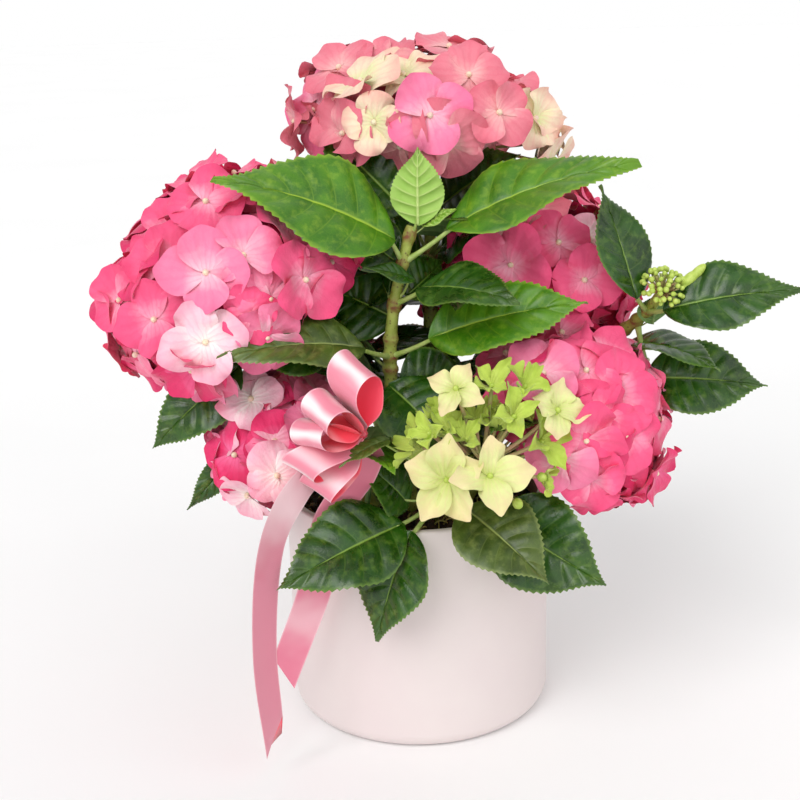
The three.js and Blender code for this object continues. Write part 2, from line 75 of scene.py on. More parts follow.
# One row per cane: foot, top, way its end faces, sway of its middle, shares of its length where
# leaves start and stop, seed, pairs of leaves by rule and the heading of the first pair.
SHOOT_ROWS = {
    "centre": ([-2, -22], [1, -30, 284], [0.1, 0, 1], [-13, -4], 0.3, 1, 11, 0, 0),
    "top": ([8, 14], [13, 46, 334], [0, 0, 1], [0, 0], 0.3, 0.78, 12, 4, 20),
    "left": ([-22, 2], [-100, -12, 256], [-0.5, -0.35, 0.8], [0, 0], 0.28, 0.7, 13, 3, 100),
    "right_high": ([24, 12], [78, 27, 250], [0.45, -0.15, 0.85], [0, 0], 0.28, 0.72, 14, 3, 70),
    "green": ([8, -34], [34, -80, 172], [0.1, -0.4, 0.9], [-4, -8], 0.25, 0.8, 17, 0, 0),
    "right_low": ([26, -14], [90, -35, 180], [0.6, -0.35, 0.7], [4, 0], 0.25, 0.64, 15, 2, 60),
    "left_low": ([-24, -20], [-73, -42, 175], [-0.6, -0.4, 0.65], [-3, 0], 0.25, 0.64, 16, 2, 120),
    "bud": ([34, 8], [131, -42, 250], [0.2, -0.5, 0.85], [10, 26], 0.3, 0.92, 18, 1, 150),
    "back_left": ([-14, 26], [-60, 72, 232], [-0.4, 0.45, 0.8], [0, 0], 0.26, 0.7, 19, 4, 35),
    "back_right": ([16, 32], [56, 86, 212], [0.35, 0.5, 0.8], [0, 0], 0.26, 0.7, 20, 4, 80),
}

# A leaf's cane, share of its length where the stalk leaves it, base of the blade, heading and rise
# in degrees, length, width, droop, roll in degrees, and its kind.
Leaf = namedtuple("Leaf", "shoot at base heading rise length width droop roll kind")

# Leaves with a place of their own.
PLACED_LEAVES = [
    ("centre", 0.89, [-8, -36, 278], -160, 29, 98, 58, 0.18, -50, "fresh"),
    ("centre", 0.89, [18, -36, 282], -12, 25, 104, 50, 0.1, 28, "fresh"),
    ("centre", 0.98, [4, -35, 285], -90, 85, 40, 28, -0.1, 0, "young"),
    ("centre", 0.97, [6, -31, 284], -10, 30, 20, 10, 0.1, 40, "young"),
    ("centre", 0.75, [4, -44, 254], -38, 5, 60, 40, 0.12, 20, "dark"),
    ("centre", 0.76, [2, -36, 256], -150, 22, 32, 12, 0.05, -40, "dark"),
    ("centre", 0.75, [-6, -20, 262], 160, 32, 50, 34, 0.1, -50, "dark"),
    ("centre", 0.55, [8, -46, 227], -10, 18, 84, 44, 0.1, 40, "fresh"),
    ("centre", 0.55, [-25, -58, 226], -155, 13, 76, 36, 0.22, -30, "bronze"),
    ("centre", 0.4, [-8, -34, 199], 15, 8, 40, 34, 0.1, 60, "dark"),
    ("centre", 0.62, [-8, -14, 230], 165, 25, 50, 44, 0.1, -60, "dark"),
    ("left", 0.55, [-32, -8, 242], 170, 10, 38, 30, 0.1, -60, "dark"),
    ("top", 0.74, [-2, -8, 288], 165, 45, 64, 54, 0.1, -60, "dark"),
    ("left", 0.66, [-92, -38, 214], -165, -38, 66, 36, 0.14, -60, "dark"),
    ("left", 0.58, [-44, -46, 226], -160, 0, 44, 36, 0.1, -50, "dark"),
    ("left_low", 0.58, [-98, -16, 162], -150, -45, 47, 17, 0.1, -70, "dark"),
    ("bud", 0.86, [118, -38, 243], 128, 61, 64, 34, -0.04, -10, "dark"),
    ("bud", 0.86, [130, -47, 239], -12, 13, 71, 40, 0.14, 45, "dark"),
    ("bud", 0.74, [130, -20, 225], -70, 72, 22, 20, 0.1, 0, "dark"),
    ("bud", 0.8, [128, -14, 193], -14, 0, 66, 44, 0.14, 55, "dark"),
    ("right_low", 0.3, [38, -67, 135], -28, -23, 70, 52, 0.04, 55, "dark"),
    ("green", 0.27, [-8, -76, 136], -150, -12, 74, 48, 0.14, -42, "dark"),
    ("green", 0.27, [-4, -82, 134], -138, -60, 60, 44, 0.1, -10, "dark"),
    ("green", 0.5, [23, -84, 147], -48, -20, 60, 44, 0.14, 25, "bronze"),
    ("centre", 0.42, [-14, -44, 202], -45, -27, 56, 46, 0.12, 25, "dark"),
    ("green", 0.4, [-5, -60, 140], -150, 50, 38, 34, 0.1, -60, "dark"),
    ("green", 0.55, [-14, -84, 185], -145, -8, 32, 14, 0.1, -10, "bronze"),
]

# Each kind of leaf: its dark and light patches, its veins, its gloss, and its net's strength.
GREENS = {
    "dark": ("123502", "235206", "7fa03c", 0.27, 0.05),
    "fresh": ("336a03", "4c8405", "a4c436", 0.38, 0.05),
    "young": ("6f9c26", "86b034", "cfe07c", 0.42, 0.45),
    "bronze": ("2f4312", "4f661c", "9aa85c", 0.34, 0.05),
}
LEAF_KINDS = list(GREENS)

# One row per flower cluster: half width, half height, solid florets, floret radius, its slot.
HEADS = {
    "top": (74, 42, 17, 21, "blush_flower"),
    "left": (72, 54, 18, 21, "rose_flower"),
    "right_high": (56, 42, 13, 20, "rose_flower"),
    "right_low": (54, 44, 14, 20, "rose_flower"),
    "left_low": (40, 30, 8, 19, "blush_flower"),
    "back_left": (56, 42, 12, 20, "rose_flower"),
    "back_right": (54, 40, 11, 20, "rose_flower"),
}
HEAD_SLOPES = {"top": 0.22}  # how steeply a cluster falls away toward +X
GREEN_HEAD = SimpleNamespace(size=(38, 26), places=46, edge=95, small_florets=0.6)
BUD_HEAD = SimpleNamespace(size=(12, 9), places=64, edge=105)
LEAF_BUD = [([13, -1, 4], 3.2), ([17, -1, 7.6], 2.6)]  # middles of its two eggs, and radii

# Each tint of sepal: its throat, body and edge.
SEPAL_COLOURS = {
    "deep": ("f06a9a", "e8336f", "d11f5c"),
    "rose": ("fba6bf", "f65c8a", "ea4076"),
    "light": ("fbc4d3", "f684a9", "ee6593"),
    "pale": ("fff6f0", "fbcbd7", "f293b1"),
    "dusty": ("f6bdba", "ea8292", "de6078"),
    "cream": ("e2e8a8", "f4dfc0", "f0a69e"),
    "lime": ("cbd86c", "c6da60", "b2ca4c"),
    "young": ("c6d274", "e2e59e", "e8c9a2"),
}
TINTS = list(SEPAL_COLOURS)

# Where the tint of a cluster's florets has a place: the middle of the patch, its radius, the tint.
TINT_PATCHES = [
    ([13, 46, 334], 90, "dusty"),
    ([80, 30, 332], 36, "cream"),
    ([-22, 0, 362], 22, "cream"),
    ([-85, -60, 215], 26, "pale"),
    ([-100, -60, 250], 30, "light"),
    ([-73, -42, 175], 60, "light"),
    ([-85, -75, 175], 30, "pale"),
    ([-25, -35, 240], 34, "deep"),
]

# Florets that face the camera, by cluster: the pixel of their middle in the photo, radius, tint.
FACING_FLORETS = {
    "top": [
        (430, 115, 23, "light"), (372, 122, 17, "cream"), (304, 106, 24, "light"), (338, 66, 20, "dusty"),
        (470, 70, 21, "dusty"), (385, 52, 20, "dusty"), (500, 112, 19, "dusty"), (540, 118, 18, "cream"),
    ],
    "left": [
        (205, 272, 23, "light"), (243, 253, 22, "light"), (160, 262, 22, "rose"), (205, 343, 22, "pale"),
        (150, 320, 21, "rose"), (165, 225, 21, "rose"), (205, 200, 22, "rose"), (272, 300, 20, "light"),
        (340, 262, 19, "deep"), (118, 300, 20, "rose"), (250, 316, 15, "rose"),
    ],
    "right_high": [
        (510, 265, 24, "rose"), (560, 240, 20, "rose"), (468, 245, 18, "deep"), (585, 280, 19, "rose"),
        (592, 236, 15, "pale"),
    ],
    "right_low": [
        (543, 372, 22, "light"), (608, 352, 20, "rose"), (625, 390, 23, "rose"), (560, 462, 20, "light"),
        (630, 438, 21, "rose"), (583, 408, 18, "rose"), (505, 352, 19, "rose"), (590, 480, 20, "rose"),
    ],
    "left_low": [
        (250, 398, 19, "pale"), (230, 455, 20, "deep"), (272, 440, 18, "light"), (277, 476, 19, "pale"),
    ],
}


# ---------------------------------------------------------------- helpers
def unit(v):
    v = np.asarray(v, float)
    return v / np.linalg.norm(v)


def units(vectors):
    """Each row of an array made one long."""
    return vectors / np.linalg.norm(vectors, axis=1, keepdims=True)


def mix(a, b, t):
    return a + (b - a) * t


def smooth(value, low, high):
    t = np.clip((value - low) / (high - low), 0, 1)
    return t * t * (3 - 2 * t)


def direction(heading, rise):
    h, r = math.radians(heading), math.radians(rise)
    return np.array([math.cos(r) * math.cos(h), math.cos(r) * math.sin(h), math.sin(r)])


def seeded(seed):
    """The source's own row of random numbers from 0 to 1."""
    state = seed

    def draw():
        nonlocal state
        state = (state * 1664525 + 1013904223) % 2**32
        return state / 2**32

    return draw


def spin(v, axis, degrees):
    """v turned about an axis."""
    return np.array(Matrix.Rotation(math.radians(degrees), 3, axis)) @ np.asarray(v, float)


def bezier(controls, t):
    """Points on the Bezier curve of two or more control points, at an array of shares of it."""
    level = [np.asarray(c, float)[None, :] for c in controls]
    t = np.atleast_1d(t)[:, None]
    while len(level) > 1:
        level = [mix(a, b, t) for a, b in zip(level, level[1:])]
    return level[0]


def spline(points, t):
    """Points on a smooth curve through a list of points, at an array of shares of it."""
    points = np.asarray(points, float)
    padded = np.vstack([2 * points[0] - points[1], points, 2 * points[-1] - points[-2]])
    way = np.clip(np.atleast_1d(t) * (len(points) - 1), 0, len(points) - 1 - 1e-6)
    k = way.astype(int)
    f = (way - k)[:, None]
    a, b, c, d = (padded[k + i] for i in range(4))
    return 0.5 * (2 * b + (c - a) * f + (2 * a - 5 * b + 4 * c - d) * f**2
                  + (3 * b - 3 * c + d - a) * f**3)


# ---------------------------------------------------------------- meshes from arrays
class Heap:
    """Small closed shapes gathered for one piece."""

    def __init__(self):
        self.points, self.faces, self.patterns, self.sheets, self.paints = [], [], [], [], []
        self.rims = []
        self.total = 0

    def add(self, points, faces, pattern, sheet, paint, rim=None):
        """pattern is two numbers per point, sheet two per face corner, paint one per face, and
        rim tells which points lie on a thin shape's edge."""
        self.points.append(points)
        self.faces.append(faces + self.total)
        self.patterns.append(pattern[faces.ravel()])
        self.sheets.append(sheet)
        self.paints.append(np.broadcast_to(paint, len(faces)))
        self.rims.append(np.zeros(len(points), bool) if rim is None else rim)
        self.total += len(points)

    def build(self, name, materials, slot, nodes=()):
        mesh = bpy.data.meshes.new(name)
        faces = np.vstack(self.faces)
        mesh.from_pydata(np.vstack(self.points) * MM, [], faces)
        for uv_name, corners in (("Pattern", self.patterns), ("OFBake", self.laid_out())):
            layer = mesh.uv_layers.new(name=uv_name)
            layer.uv.foreach_set("vector", np.vstack(corners).astype(np.float32).ravel())
        for material in materials:
            mesh.materials.append(material)
        mesh.polygons.foreach_set("material_index", np.concatenate(self.paints).astype(np.int32))
        mesh.polygons.foreach_set("use_smooth", np.ones(len(faces), bool))
        self.sharpen(mesh)
        mesh.update()
        piece = bpy.data.objects.new(name, mesh)
        bpy.context.scene.collection.objects.link(piece)
        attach(piece, BODY)
        if nodes:
            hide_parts(*nodes)

    def sharpen(self, mesh):
        """Thin shapes shade as two skins, each smooth up to the rim."""
        ends = np.empty(len(mesh.edges) * 2, np.int32)
        mesh.edges.foreach_get("vertices", ends)
        sharp = np.concatenate(self.rims)[ends].reshape(-1, 2).all(axis=1)
        layer = mesh.attributes.new("sharp_edge", "BOOLEAN", "EDGE")
        layer.data.foreach_set("value", sharp)

    def laid_out(self):
        """Each shape's sheet in a cell of its own in one square map."""
        side = math.ceil(math.sqrt(len(self.sheets)))
        return [(sheet * 0.94 + 0.03 + [k % side, k // side]) / side
                for k, sheet in enumerate(self.sheets)]


def quads(index):
    """The quads of a grid of point numbers."""
    return np.stack([index[:-1, :-1], index[1:, :-1], index[1:, 1:], index[:-1, 1:]],
                    axis=-1).reshape(-1, 4)


@lru_cache(maxsize=None)
def shell_faces(rows, columns):
    """Faces and sheet of a thin shell: its upper skin, then its lower one, sharing the rim."""
    upper = np.arange(rows * columns).reshape(rows, columns)
    lower = upper.copy()
    inner = (rows - 2) * (columns - 2)
    lower[1:-1, 1:-1] = rows * columns + np.arange(inner).reshape(rows - 2, columns - 2)
    faces = np.vstack([quads(upper), quads(lower)[:, ::-1]])
    down, across = np.meshgrid(np.linspace(0, 1, rows), np.linspace(0, 1, columns), indexing="ij")
    flat = np.stack([down, across * 0.49], axis=-1).reshape(-1, 2)
    top_sheet = flat[quads(upper).ravel()]
    low_sheet = flat[quads(upper)[:, ::-1].ravel()] + [0, 0.51]
    return faces, np.vstack([top_sheet, low_sheet])


def add_shell(heap, middle, over, under, pattern, paint_over, paint_under):
    """A closed thin shell around a grid of points, thick by over and under off its rim."""
    rows, columns = middle.shape[:2]
    normal = np.cross(np.gradient(middle, axis=0), np.gradient(middle, axis=1))
    normal /= np.maximum(np.linalg.norm(normal, axis=-1, keepdims=True), 1e-9)
    over, under = (np.broadcast_to(thick, (rows, columns)) for thick in (over, under))
    inner = (slice(1, -1), slice(1, -1))
    upper = middle.copy()
    upper[inner] += (normal * over[..., None])[inner]
    lower = (middle - normal * under[..., None])[inner]
    points = np.vstack([upper.reshape(-1, 3), lower.reshape(-1, 3)])
    marks = np.vstack([pattern.reshape(-1, 2), pattern[inner].reshape(-1, 2)])
    faces, sheet = shell_faces(rows, columns)
    half = len(faces) // 2
    rim = np.zeros(len(points), bool)
    border = np.ones((rows, columns), bool)
    border[inner] = False
    rim[:rows * columns] = border.ravel()
    heap.add(points, faces, marks, sheet, np.repeat([paint_over, paint_under], half), rim)


@lru_cache(maxsize=None)
def ring_faces(rows, sides):
    """Faces and sheet of rings of points joined into a closed rod, its ends filled by strips."""
    index = np.arange(rows * sides).reshape(rows, sides)
    wrapped = np.hstack([index, index[:, :1]])
    body = quads(wrapped)[:, ::-1]
    down, around = np.meshgrid(np.linspace(0, 1, rows), np.linspace(0, 0.94, sides + 1),
                               indexing="ij")
    flat = np.stack([around, down], axis=-1).reshape(-1, 2)
    own = np.arange(rows * (sides + 1)).reshape(rows, sides + 1)
    sheet = [flat[quads(own)[:, ::-1].ravel()]]
    faces = [body]
    angle = np.arange(sides) * 2 * math.pi / sides
    disc = 0.022 * np.stack([np.cos(angle), np.sin(angle)], axis=-1)
    for ring, corner, flip in ((index[0], 0.25, True), (index[-1], 0.75, False)):
        strip = np.array([[k, k + 1, sides - 2 - k, sides - 1 - k] for k in range(sides // 2 - 1)])
        strip = strip[:, ::-1] if flip else strip
        faces.append(ring[strip])
        sheet.append(disc[strip.ravel()] + [0.97, corner])
    return np.vstack(faces), np.vstack(sheet)


def add_rings(heap, rings, marks=None, paint=0):
    """A closed rod through rings of points, with two pattern numbers for each ring, or else its
    share of the way twice."""
    rows, sides = rings.shape[:2]
    if marks is None:
        marks = np.repeat(np.linspace(0, 1, rows)[:, None], 2, axis=1)
    pattern = np.repeat(marks, sides, axis=0)
    faces, sheet = ring_faces(rows, sides)
    heap.add(rings.reshape(-1, 3), faces, pattern, sheet, paint)


def tube_rings(path, radii, sides):
    """Rings round a path."""
    tangent = units(np.gradient(path, axis=0))
    chord = unit(path[-1] - path[0])
    guide = np.array([0.0, 1, 0]) if abs(chord[1]) < 0.8 else np.array([0.0, 0, 1])
    right = units(np.cross(guide, tangent))
    up = np.cross(tangent, right)
    angle = np.arange(sides) * 2 * math.pi / sides
    ways = right[:, None] * np.cos(angle)[:, None] + up[:, None] * np.sin(angle)[:, None]
    return path[:, None] + ways * np.asarray(radii, float)[:, None, None]


def add_tube(heap, path, radii, sides):
    add_rings(heap, tube_rings(path, np.broadcast_to(radii, len(path)), sides))


def add_ball(heap, centre, axis, radius, length, rows=6, sides=8, paint=0):
    """An egg about an axis."""
    polar = np.clip(np.linspace(0.06, 1, rows) * math.pi, 0.14, math.pi - 0.14)
    path = np.asarray(centre)[None] - np.cos(polar)[:, None] * unit(axis)[None] * length
    add_rings(heap, tube_rings(path, np.sin(polar) * radius, sides), paint=paint)


# ---------------------------------------------------------------- materials
def srgb(code):
    """A colour as the shaders want it, from its six-digit web code."""
    parts = [int(code[i:i + 2], 16) / 255 for i in (0, 2, 4)]
    return tuple(c / 12.92 if c <= 0.04045 else ((c + 0.055) / 1.055) ** 2.4 for c in parts) + (1,)


def mixed(a, b, t):
    """A plain colour between two others."""
    return tuple(mix(x, y, t) for x, y in zip(a, b))


class Field:
    """A number or colour that varies over a surface. The usual signs make maths nodes of it."""

    def __init__(self, tree, socket):
        self.tree, self.socket = tree, socket

    def maths(self, operation, other=0.0):
        return node(self.tree, "ShaderNodeMath", {0: self, 1: other}, operation=operation)

    def __add__(self, other):
        return self.maths("ADD", other)

    def __sub__(self, other):
        return self.maths("SUBTRACT", other)

    def __mul__(self, other):
        return self.maths("MULTIPLY", other)

    def __abs__(self):
        return self.maths("ABSOLUTE")

    def or_more(self, other):
        """The greater of two fields."""
        return self.maths("MAXIMUM", other)

    def between(self, low, high, start=0.0, end=1.0, **settings):
        """Start where the field is at low or under, end where it is at high or over."""
        return node(self.tree, "ShaderNodeMapRange", {
            "Value": self, "From Min": low, "From Max": high, "To Min": start, "To Max": end},
            **settings)

    def blend(self, a, b):
        """Colour a where the field is 0, and b where it is 1."""
        return node(self.tree, "ShaderNodeMix", {0: self, 6: a, 7: b}, output=2, data_type="RGBA")


def node(tree, kind, inputs, output=0, **settings):
    """Adds a node, sets or links its inputs, and gives back one of its outputs."""
    made = tree.nodes.new(kind)
    for key, value in settings.items():
        setattr(made, key, value)
    for key, value in inputs.items():
        if isinstance(value, Field):
            tree.links.new(value.socket, made.inputs[key])
        else:
            made.inputs[key].default_value = value
    return Field(tree, made.outputs[output])


def place(tree):
    return node(tree, "ShaderNodeTexCoord", {}, output="Object")


def grain(tree, scale, detail=3.0):
    """A noise in space, with a scale in grains per metre."""
    return node(tree, "ShaderNodeTexNoise", {
        "Vector": place(tree), "Scale": scale, "Detail": detail, "Roughness": 0.55})


def cells(tree, scale, feature="F1"):
    """The distance to the middles, or the edges, of cells in space."""
    return node(tree, "ShaderNodeTexVoronoi", {"Vector": place(tree), "Scale": scale}, feature=feature)


def pattern_axes(tree):
    """The two pattern numbers of a shape."""
    uv = node(tree, "ShaderNodeUVMap", {}, uv_map="Pattern")
    return [node(tree, "ShaderNodeSeparateXYZ", {0: uv}, output=axis) for axis in (0, 1)]


def new_material(name, roughness=0.5):
    material = bpy.data.materials.new(name)
    material.use_nodes = True
    tree = material.node_tree
    shader = tree.nodes["Principled BSDF"]
    shader.inputs["Roughness"].default_value = roughness
    return material, tree, shader


def wire(shader, colour, relief, strength, depth_mm, roughness=None):
    """Links a shader's colour, its bumps and, where it varies, its roughness."""
    bumps = node(relief.tree, "ShaderNodeBump", {
        "Height": relief, "Strength": strength, "Distance": depth_mm * MM})
    for name, field in (("Base Color", colour), ("Roughness", roughness), ("Normal", bumps)):
        if field is not None:
            field.tree.links.new(field.socket, shader.inputs[name])


def vein_lines(along, off_mid, width, strength):
    """Arched side veins, fading before the margin, and the midrib, as a mask."""
    to_vein = (along * BLADE.veins).maths("PINGPONG", 0.5)
    side_veins = to_vein.between(0, width, strength, 0) * off_mid.between(0.3, 0.48, 1, 0.2)
    return side_veins.or_more(off_mid.between(0.006, 0.022, 0.9, 0))


def leaf_material(name, dark, light, vein, gloss, net_strength):
    """A leaf's upper face: greens in patches, fresher toward the tip, with pale fine veins,
    flecks and margin."""
    material, tree, shader = new_material(name)
    dark, light, vein = srgb(dark), srgb(light), srgb(vein)
    along, across = pattern_axes(tree)
    off_mid = abs(across - 0.5)
    lines = vein_lines(along, off_mid, 0.05, 0.22)
    net = cells(tree, 420, "DISTANCE_TO_EDGE").between(0, 0.1, 1, 0)
    cloud = grain(tree, 60)
    fresher = (along + cloud * 0.5).between(0.75, 1.4, 0, 0.55)
    body = fresher.blend(cloud.between(0.35, 0.65).blend(dark, light), mixed(light, vein, 0.35))
    margin = off_mid.between(0.46, 0.5, 0, 0.5)
    flecks = grain(tree, 210, detail=4).between(0.5, 0.72, 0, 0.3)
    marks = lines.or_more(margin).or_more(flecks + net * net_strength)
    wire(shader, marks.blend(body, vein), grain(tree, 700) * 0.15 - (lines * 0.7 + net * 0.1),
         0.5, 0.5, grain(tree, 120).between(0.3, 0.7, gloss - 0.05, gloss + 0.1))
    shader.inputs["Specular IOR Level"].default_value = 0.52
    return material


def under_material(name, body, vein):
    """A leaf's lower face: paler and matt, with raised veins."""
    material, tree, shader = new_material(name)
    body, vein = srgb(body), srgb(vein)
    along, across = pattern_axes(tree)
    lines = vein_lines(along, abs(across - 0.5), 0.09, 0.7)
    patches = grain(tree, 90).between(0.3, 0.7)
    colour = lines.blend(patches.blend(body, mixed(body, vein, 0.3)), vein)
    wire(shader, colour, lines + grain(tree, 600), 0.4, 0.4, patches.between(0, 1, 0.6, 0.75))
    return material


def sepal_material(name, throat, body, edge):
    """A sepal: its throat, body and edge colours, with soft mottling and fan-shaped veins."""
    material, tree, shader = new_material(name)
    throat, body, edge = srgb(throat), srgb(body), srgb(edge)
    out, fan = pattern_axes(tree)
    cloud = grain(tree, 110)
    reach = out + (cloud - 0.5) * 0.7
    inner = reach.between(0.02, 0.5).blend(throat, body)
    whole = reach.between(0.55, 1.1, 0, 0.8).blend(inner, edge)
    ray = (fan * 88 + grain(tree, 260) * 6).maths("SINE")
    wire(shader, ray.between(0.2, 1, 0, 0.22).blend(whole, edge),
         ray * 0.3 + (cloud * 2 + grain(tree, 800)), 0.4, 0.5, cloud.between(0.3, 0.7, 0.5, 0.64))
    shader.inputs["Sheen Weight"].default_value = 0.2
    shader.inputs["Sheen Roughness"].default_value = 0.5
    shader.inputs["Specular IOR Level"].default_value = 0.35
    return material


def cane_material():
    """Green bark with pale streaks and dark specks, browner at the joints."""
    material, tree, shader = new_material("cane_bark")
    joint = pattern_axes(tree)[1]
    streaks = grain(tree, 140, detail=4).between(0.35, 0.65)
    green = streaks.blend(srgb("8a9a38"), srgb("b0bb5c"))
    freckled = cells(tree, 420).between(0.12, 0.3, 0.75, 0).blend(green, srgb("5a3a24"))
    browned = joint * grain(tree, 300).between(0.3, 0.6)
    wire(shader, browned.blend(freckled, srgb("7a3b2a")), grain(tree, 520, detail=5), 0.5, 0.5,
         streaks.between(0, 1, 0.5, 0.65))
    return material


def mottled_material(name, first, second, scale, roughness, depth_mm):
    """Two colours in soft patches over a fine relief."""
    material, tree, shader = new_material(name)
    patches = grain(tree, scale).between(0.35, 0.65)
    wire(shader, patches.blend(srgb(first), srgb(second)), grain(tree, scale * 6, detail=5), 0.5,
         depth_mm, patches.between(0, 1, roughness - 0.05, roughness + 0.05))
    return material


def satin_material(name, body, rim, painted_highlights):
    """Satin ribbon: a smooth weave with lines across it, a paler woven rim, and painted highlights,
    near-white bands across it, each a middle and a half width as shares of the ribbon's length, and a
    strength."""
    material, tree, shader = new_material(name, 0.28)
    along, across = pattern_axes(tree)
    weave = (along * 1400).maths("SINE")
    edge = abs(across - 0.5).between(0.45, 0.48)
    colour = (edge * 0.7).blend(srgb(body), srgb(rim))
    shifted = along + (grain(tree, 70, detail=1) - 0.5) * 0.1
    # Painted highlights: each band blends the colour toward near-white where the ribbon's curls would
    # catch the light.
    for middle, half, strength in painted_highlights:
        band = abs(shifted - middle).between(0, half, strength, 0, interpolation_type="SMOOTHSTEP")
        colour = band.blend(colour, srgb(PAINTED_HIGHLIGHT))
    wire(shader, colour, weave * 0.3 + edge, 0.25, 0.1)
    shader.inputs["Sheen Weight"].default_value = 0.25
    shader.inputs["Anisotropic"].default_value = 0.4
    return material


# ---------------------------------------------------------------- canes
def make_shoot(name, row):
    """A cane's curve and what grows on it."""
    foot, top, face, sway, fork, neck, seed, pairs, start = row
    foot = np.array([foot[0], foot[1], SOIL.top + SOIL.crown + GAP])
    top, face, sway = np.array(top, float), unit(face), np.array([*sway, 0.0])
    height = top[2] - foot[2]
    lower = np.array([foot[0] * CANE.flare, foot[1] * CANE.flare, foot[2] + CANE.rise * height]) + sway
    upper = top - face * CANE.lead * height + sway
    return SimpleNamespace(name=name, controls=[foot, lower, upper, top], face=face, top=top,
                           fork=fork, neck=neck, seed=seed, pairs=pairs, start=start)


SHOOTS = {name: make_shoot(name, row) for name, row in SHOOT_ROWS.items()}


def on_cane(shoot, t):
    return bezier(shoot.controls, t)[0]


def head_frame(shoot):
    """The cluster's middle, its pole, and two directions across it."""
    side = unit(np.cross([0, 1, 0], shoot.face))
    return shoot.top, shoot.face, side, np.cross(shoot.face, side)


def inside_head(point):
    """Whether a point lies well inside a flower cluster."""
    for name, (spread, depth, *_) in HEADS.items():
        centre, pole, *_ = head_frame(SHOOTS[name])
        offset = point - centre
        high = offset @ pole
        flat = np.linalg.norm(offset - pole * high)
        if (high / depth) ** 2 + (flat / spread) ** 2 < HEAD.leafless:
            return True
    return False


# ---------------------------------------------------------------- leaves
def blade_middle(leaf):
    return leaf.base + direction(leaf.heading, leaf.rise) * leaf.length / 2


def ruled_leaves(taken):
    """The leaves that grow in crossed pairs up the canes, where there is room."""
    for shoot in SHOOTS.values():
        draw = seeded(shoot.seed)
        pairs = shoot.pairs + FILLER.extra * (shoot.pairs > 1)
        for pair in range(pairs):
            at = mix(shoot.fork + 0.04, shoot.neck - 0.04, (pair + 0.5) / pairs)
            for turn in (0, 180):
                heading = shoot.start + FILLER.turn * pair + turn + 30 * (draw() - 0.5)
                rise = 4 + 26 * draw()
                length = FILLER.length * (0.85 + 0.35 * draw())
                roll = 24 * (draw() - 0.5)
                base = on_cane(shoot, at) + direction(heading, rise + 12) * FILLER.stalk
                leaf = Leaf(shoot.name, at, base, heading, rise, length, FILLER.width_share * length,
                            FILLER.droop, roll, "fresh" if draw() > FILLER.dark else "dark")
                middle = blade_middle(leaf)
                near = any(np.linalg.norm(other - middle) < FILLER.spacing for other in taken)
                if near or inside_head(middle):
                    continue
                taken.append(middle)
                yield leaf


def inner_leaves(taken):
    """Broad dark leaves between the canes, tilted so that they close the crown from each side."""
    for shoot in SHOOTS.values():
        draw = seeded(shoot.seed + INNER_SEED)
        for at in INNER.shares:
            for turn in (0, 120, 240):
                heading, rise = turn + 360 * draw(), 40 * draw() - 5
                length = INNER.length * (0.8 + 0.4 * draw())
                roll = 50 + 25 * draw() if draw() < 0.5 else -50 - 25 * draw()
                base = on_cane(shoot, at) + direction(heading, rise) * INNER.stalk
                leaf = Leaf(shoot.name, at, base, heading, rise, length, INNER.width_share * length,
                            INNER.droop, roll, "dark")
                middle = blade_middle(leaf)
                near = any(np.linalg.norm(other - middle) < INNER.spacing for other in taken)
                if not near and is_sheltered(leaf.base + direction(heading, rise) * length):
                    taken.append(middle)
                    yield leaf


def is_sheltered(tip):
    """Whether a leaf that ends at this place stays within the crown, clear of pot and clusters."""
    wide = math.hypot(tip[0], tip[1] - INNER.back)
    return wide < INNER.reach and tip[2] > POT.height + INNER.over_pot and not inside_head(tip)


# Shares from one side vein to the next at which a blade has a row of points. Each second row
# ends in a notch of the toothed margin.
VEIN_STEPS = np.array([0, 0.14, 0.33, 0.5, 0.67, 0.86])
HALF_COLUMNS = np.array([0, 0.04, 0.13, 0.27, 0.43, 0.6, 0.78, 0.92, 1])


@lru_cache(maxsize=None)
def blade_grid():
    """Places of a blade's points: share along, signed share across, relief, and tooth."""
    steps = (np.arange(BLADE.veins)[:, None] + VEIN_STEPS[None]).ravel() / BLADE.veins
    along = np.append(steps, 1.0)
    across = np.concatenate([-HALF_COLUMNS[:0:-1], HALF_COLUMNS])
    a, v = np.meshgrid(along, across, indexing="ij")
    tooth = np.where(np.arange(len(along)) % 2 == 0, 1.0, -0.35)
    tooth[[0, -1]] = 0
    rim = np.abs(v) > 0.99
    teeth = tooth[:, None] * rim
    lateral = (4 * np.abs(v) * (1 - np.abs(v))) ** 0.6
    quilt = np.abs(np.sin(math.pi * a * BLADE.veins)) ** 0.8 * lateral
    on_vein = (np.abs(np.round(a * BLADE.veins) - a * BLADE.veins) < 1e-6) & (np.abs(v) < 0.9)
    return a, v, teeth, quilt, on_vein


def outline_share(s):
    """Share of a blade's half width: egg-shaped, with a drawn-out tip."""
    body = np.sin(math.pi * np.clip(s, 0, 1) ** 0.72)
    return np.maximum(body * (1 - 0.4 * smooth(s, 0.72, 1.0)), 0.012)


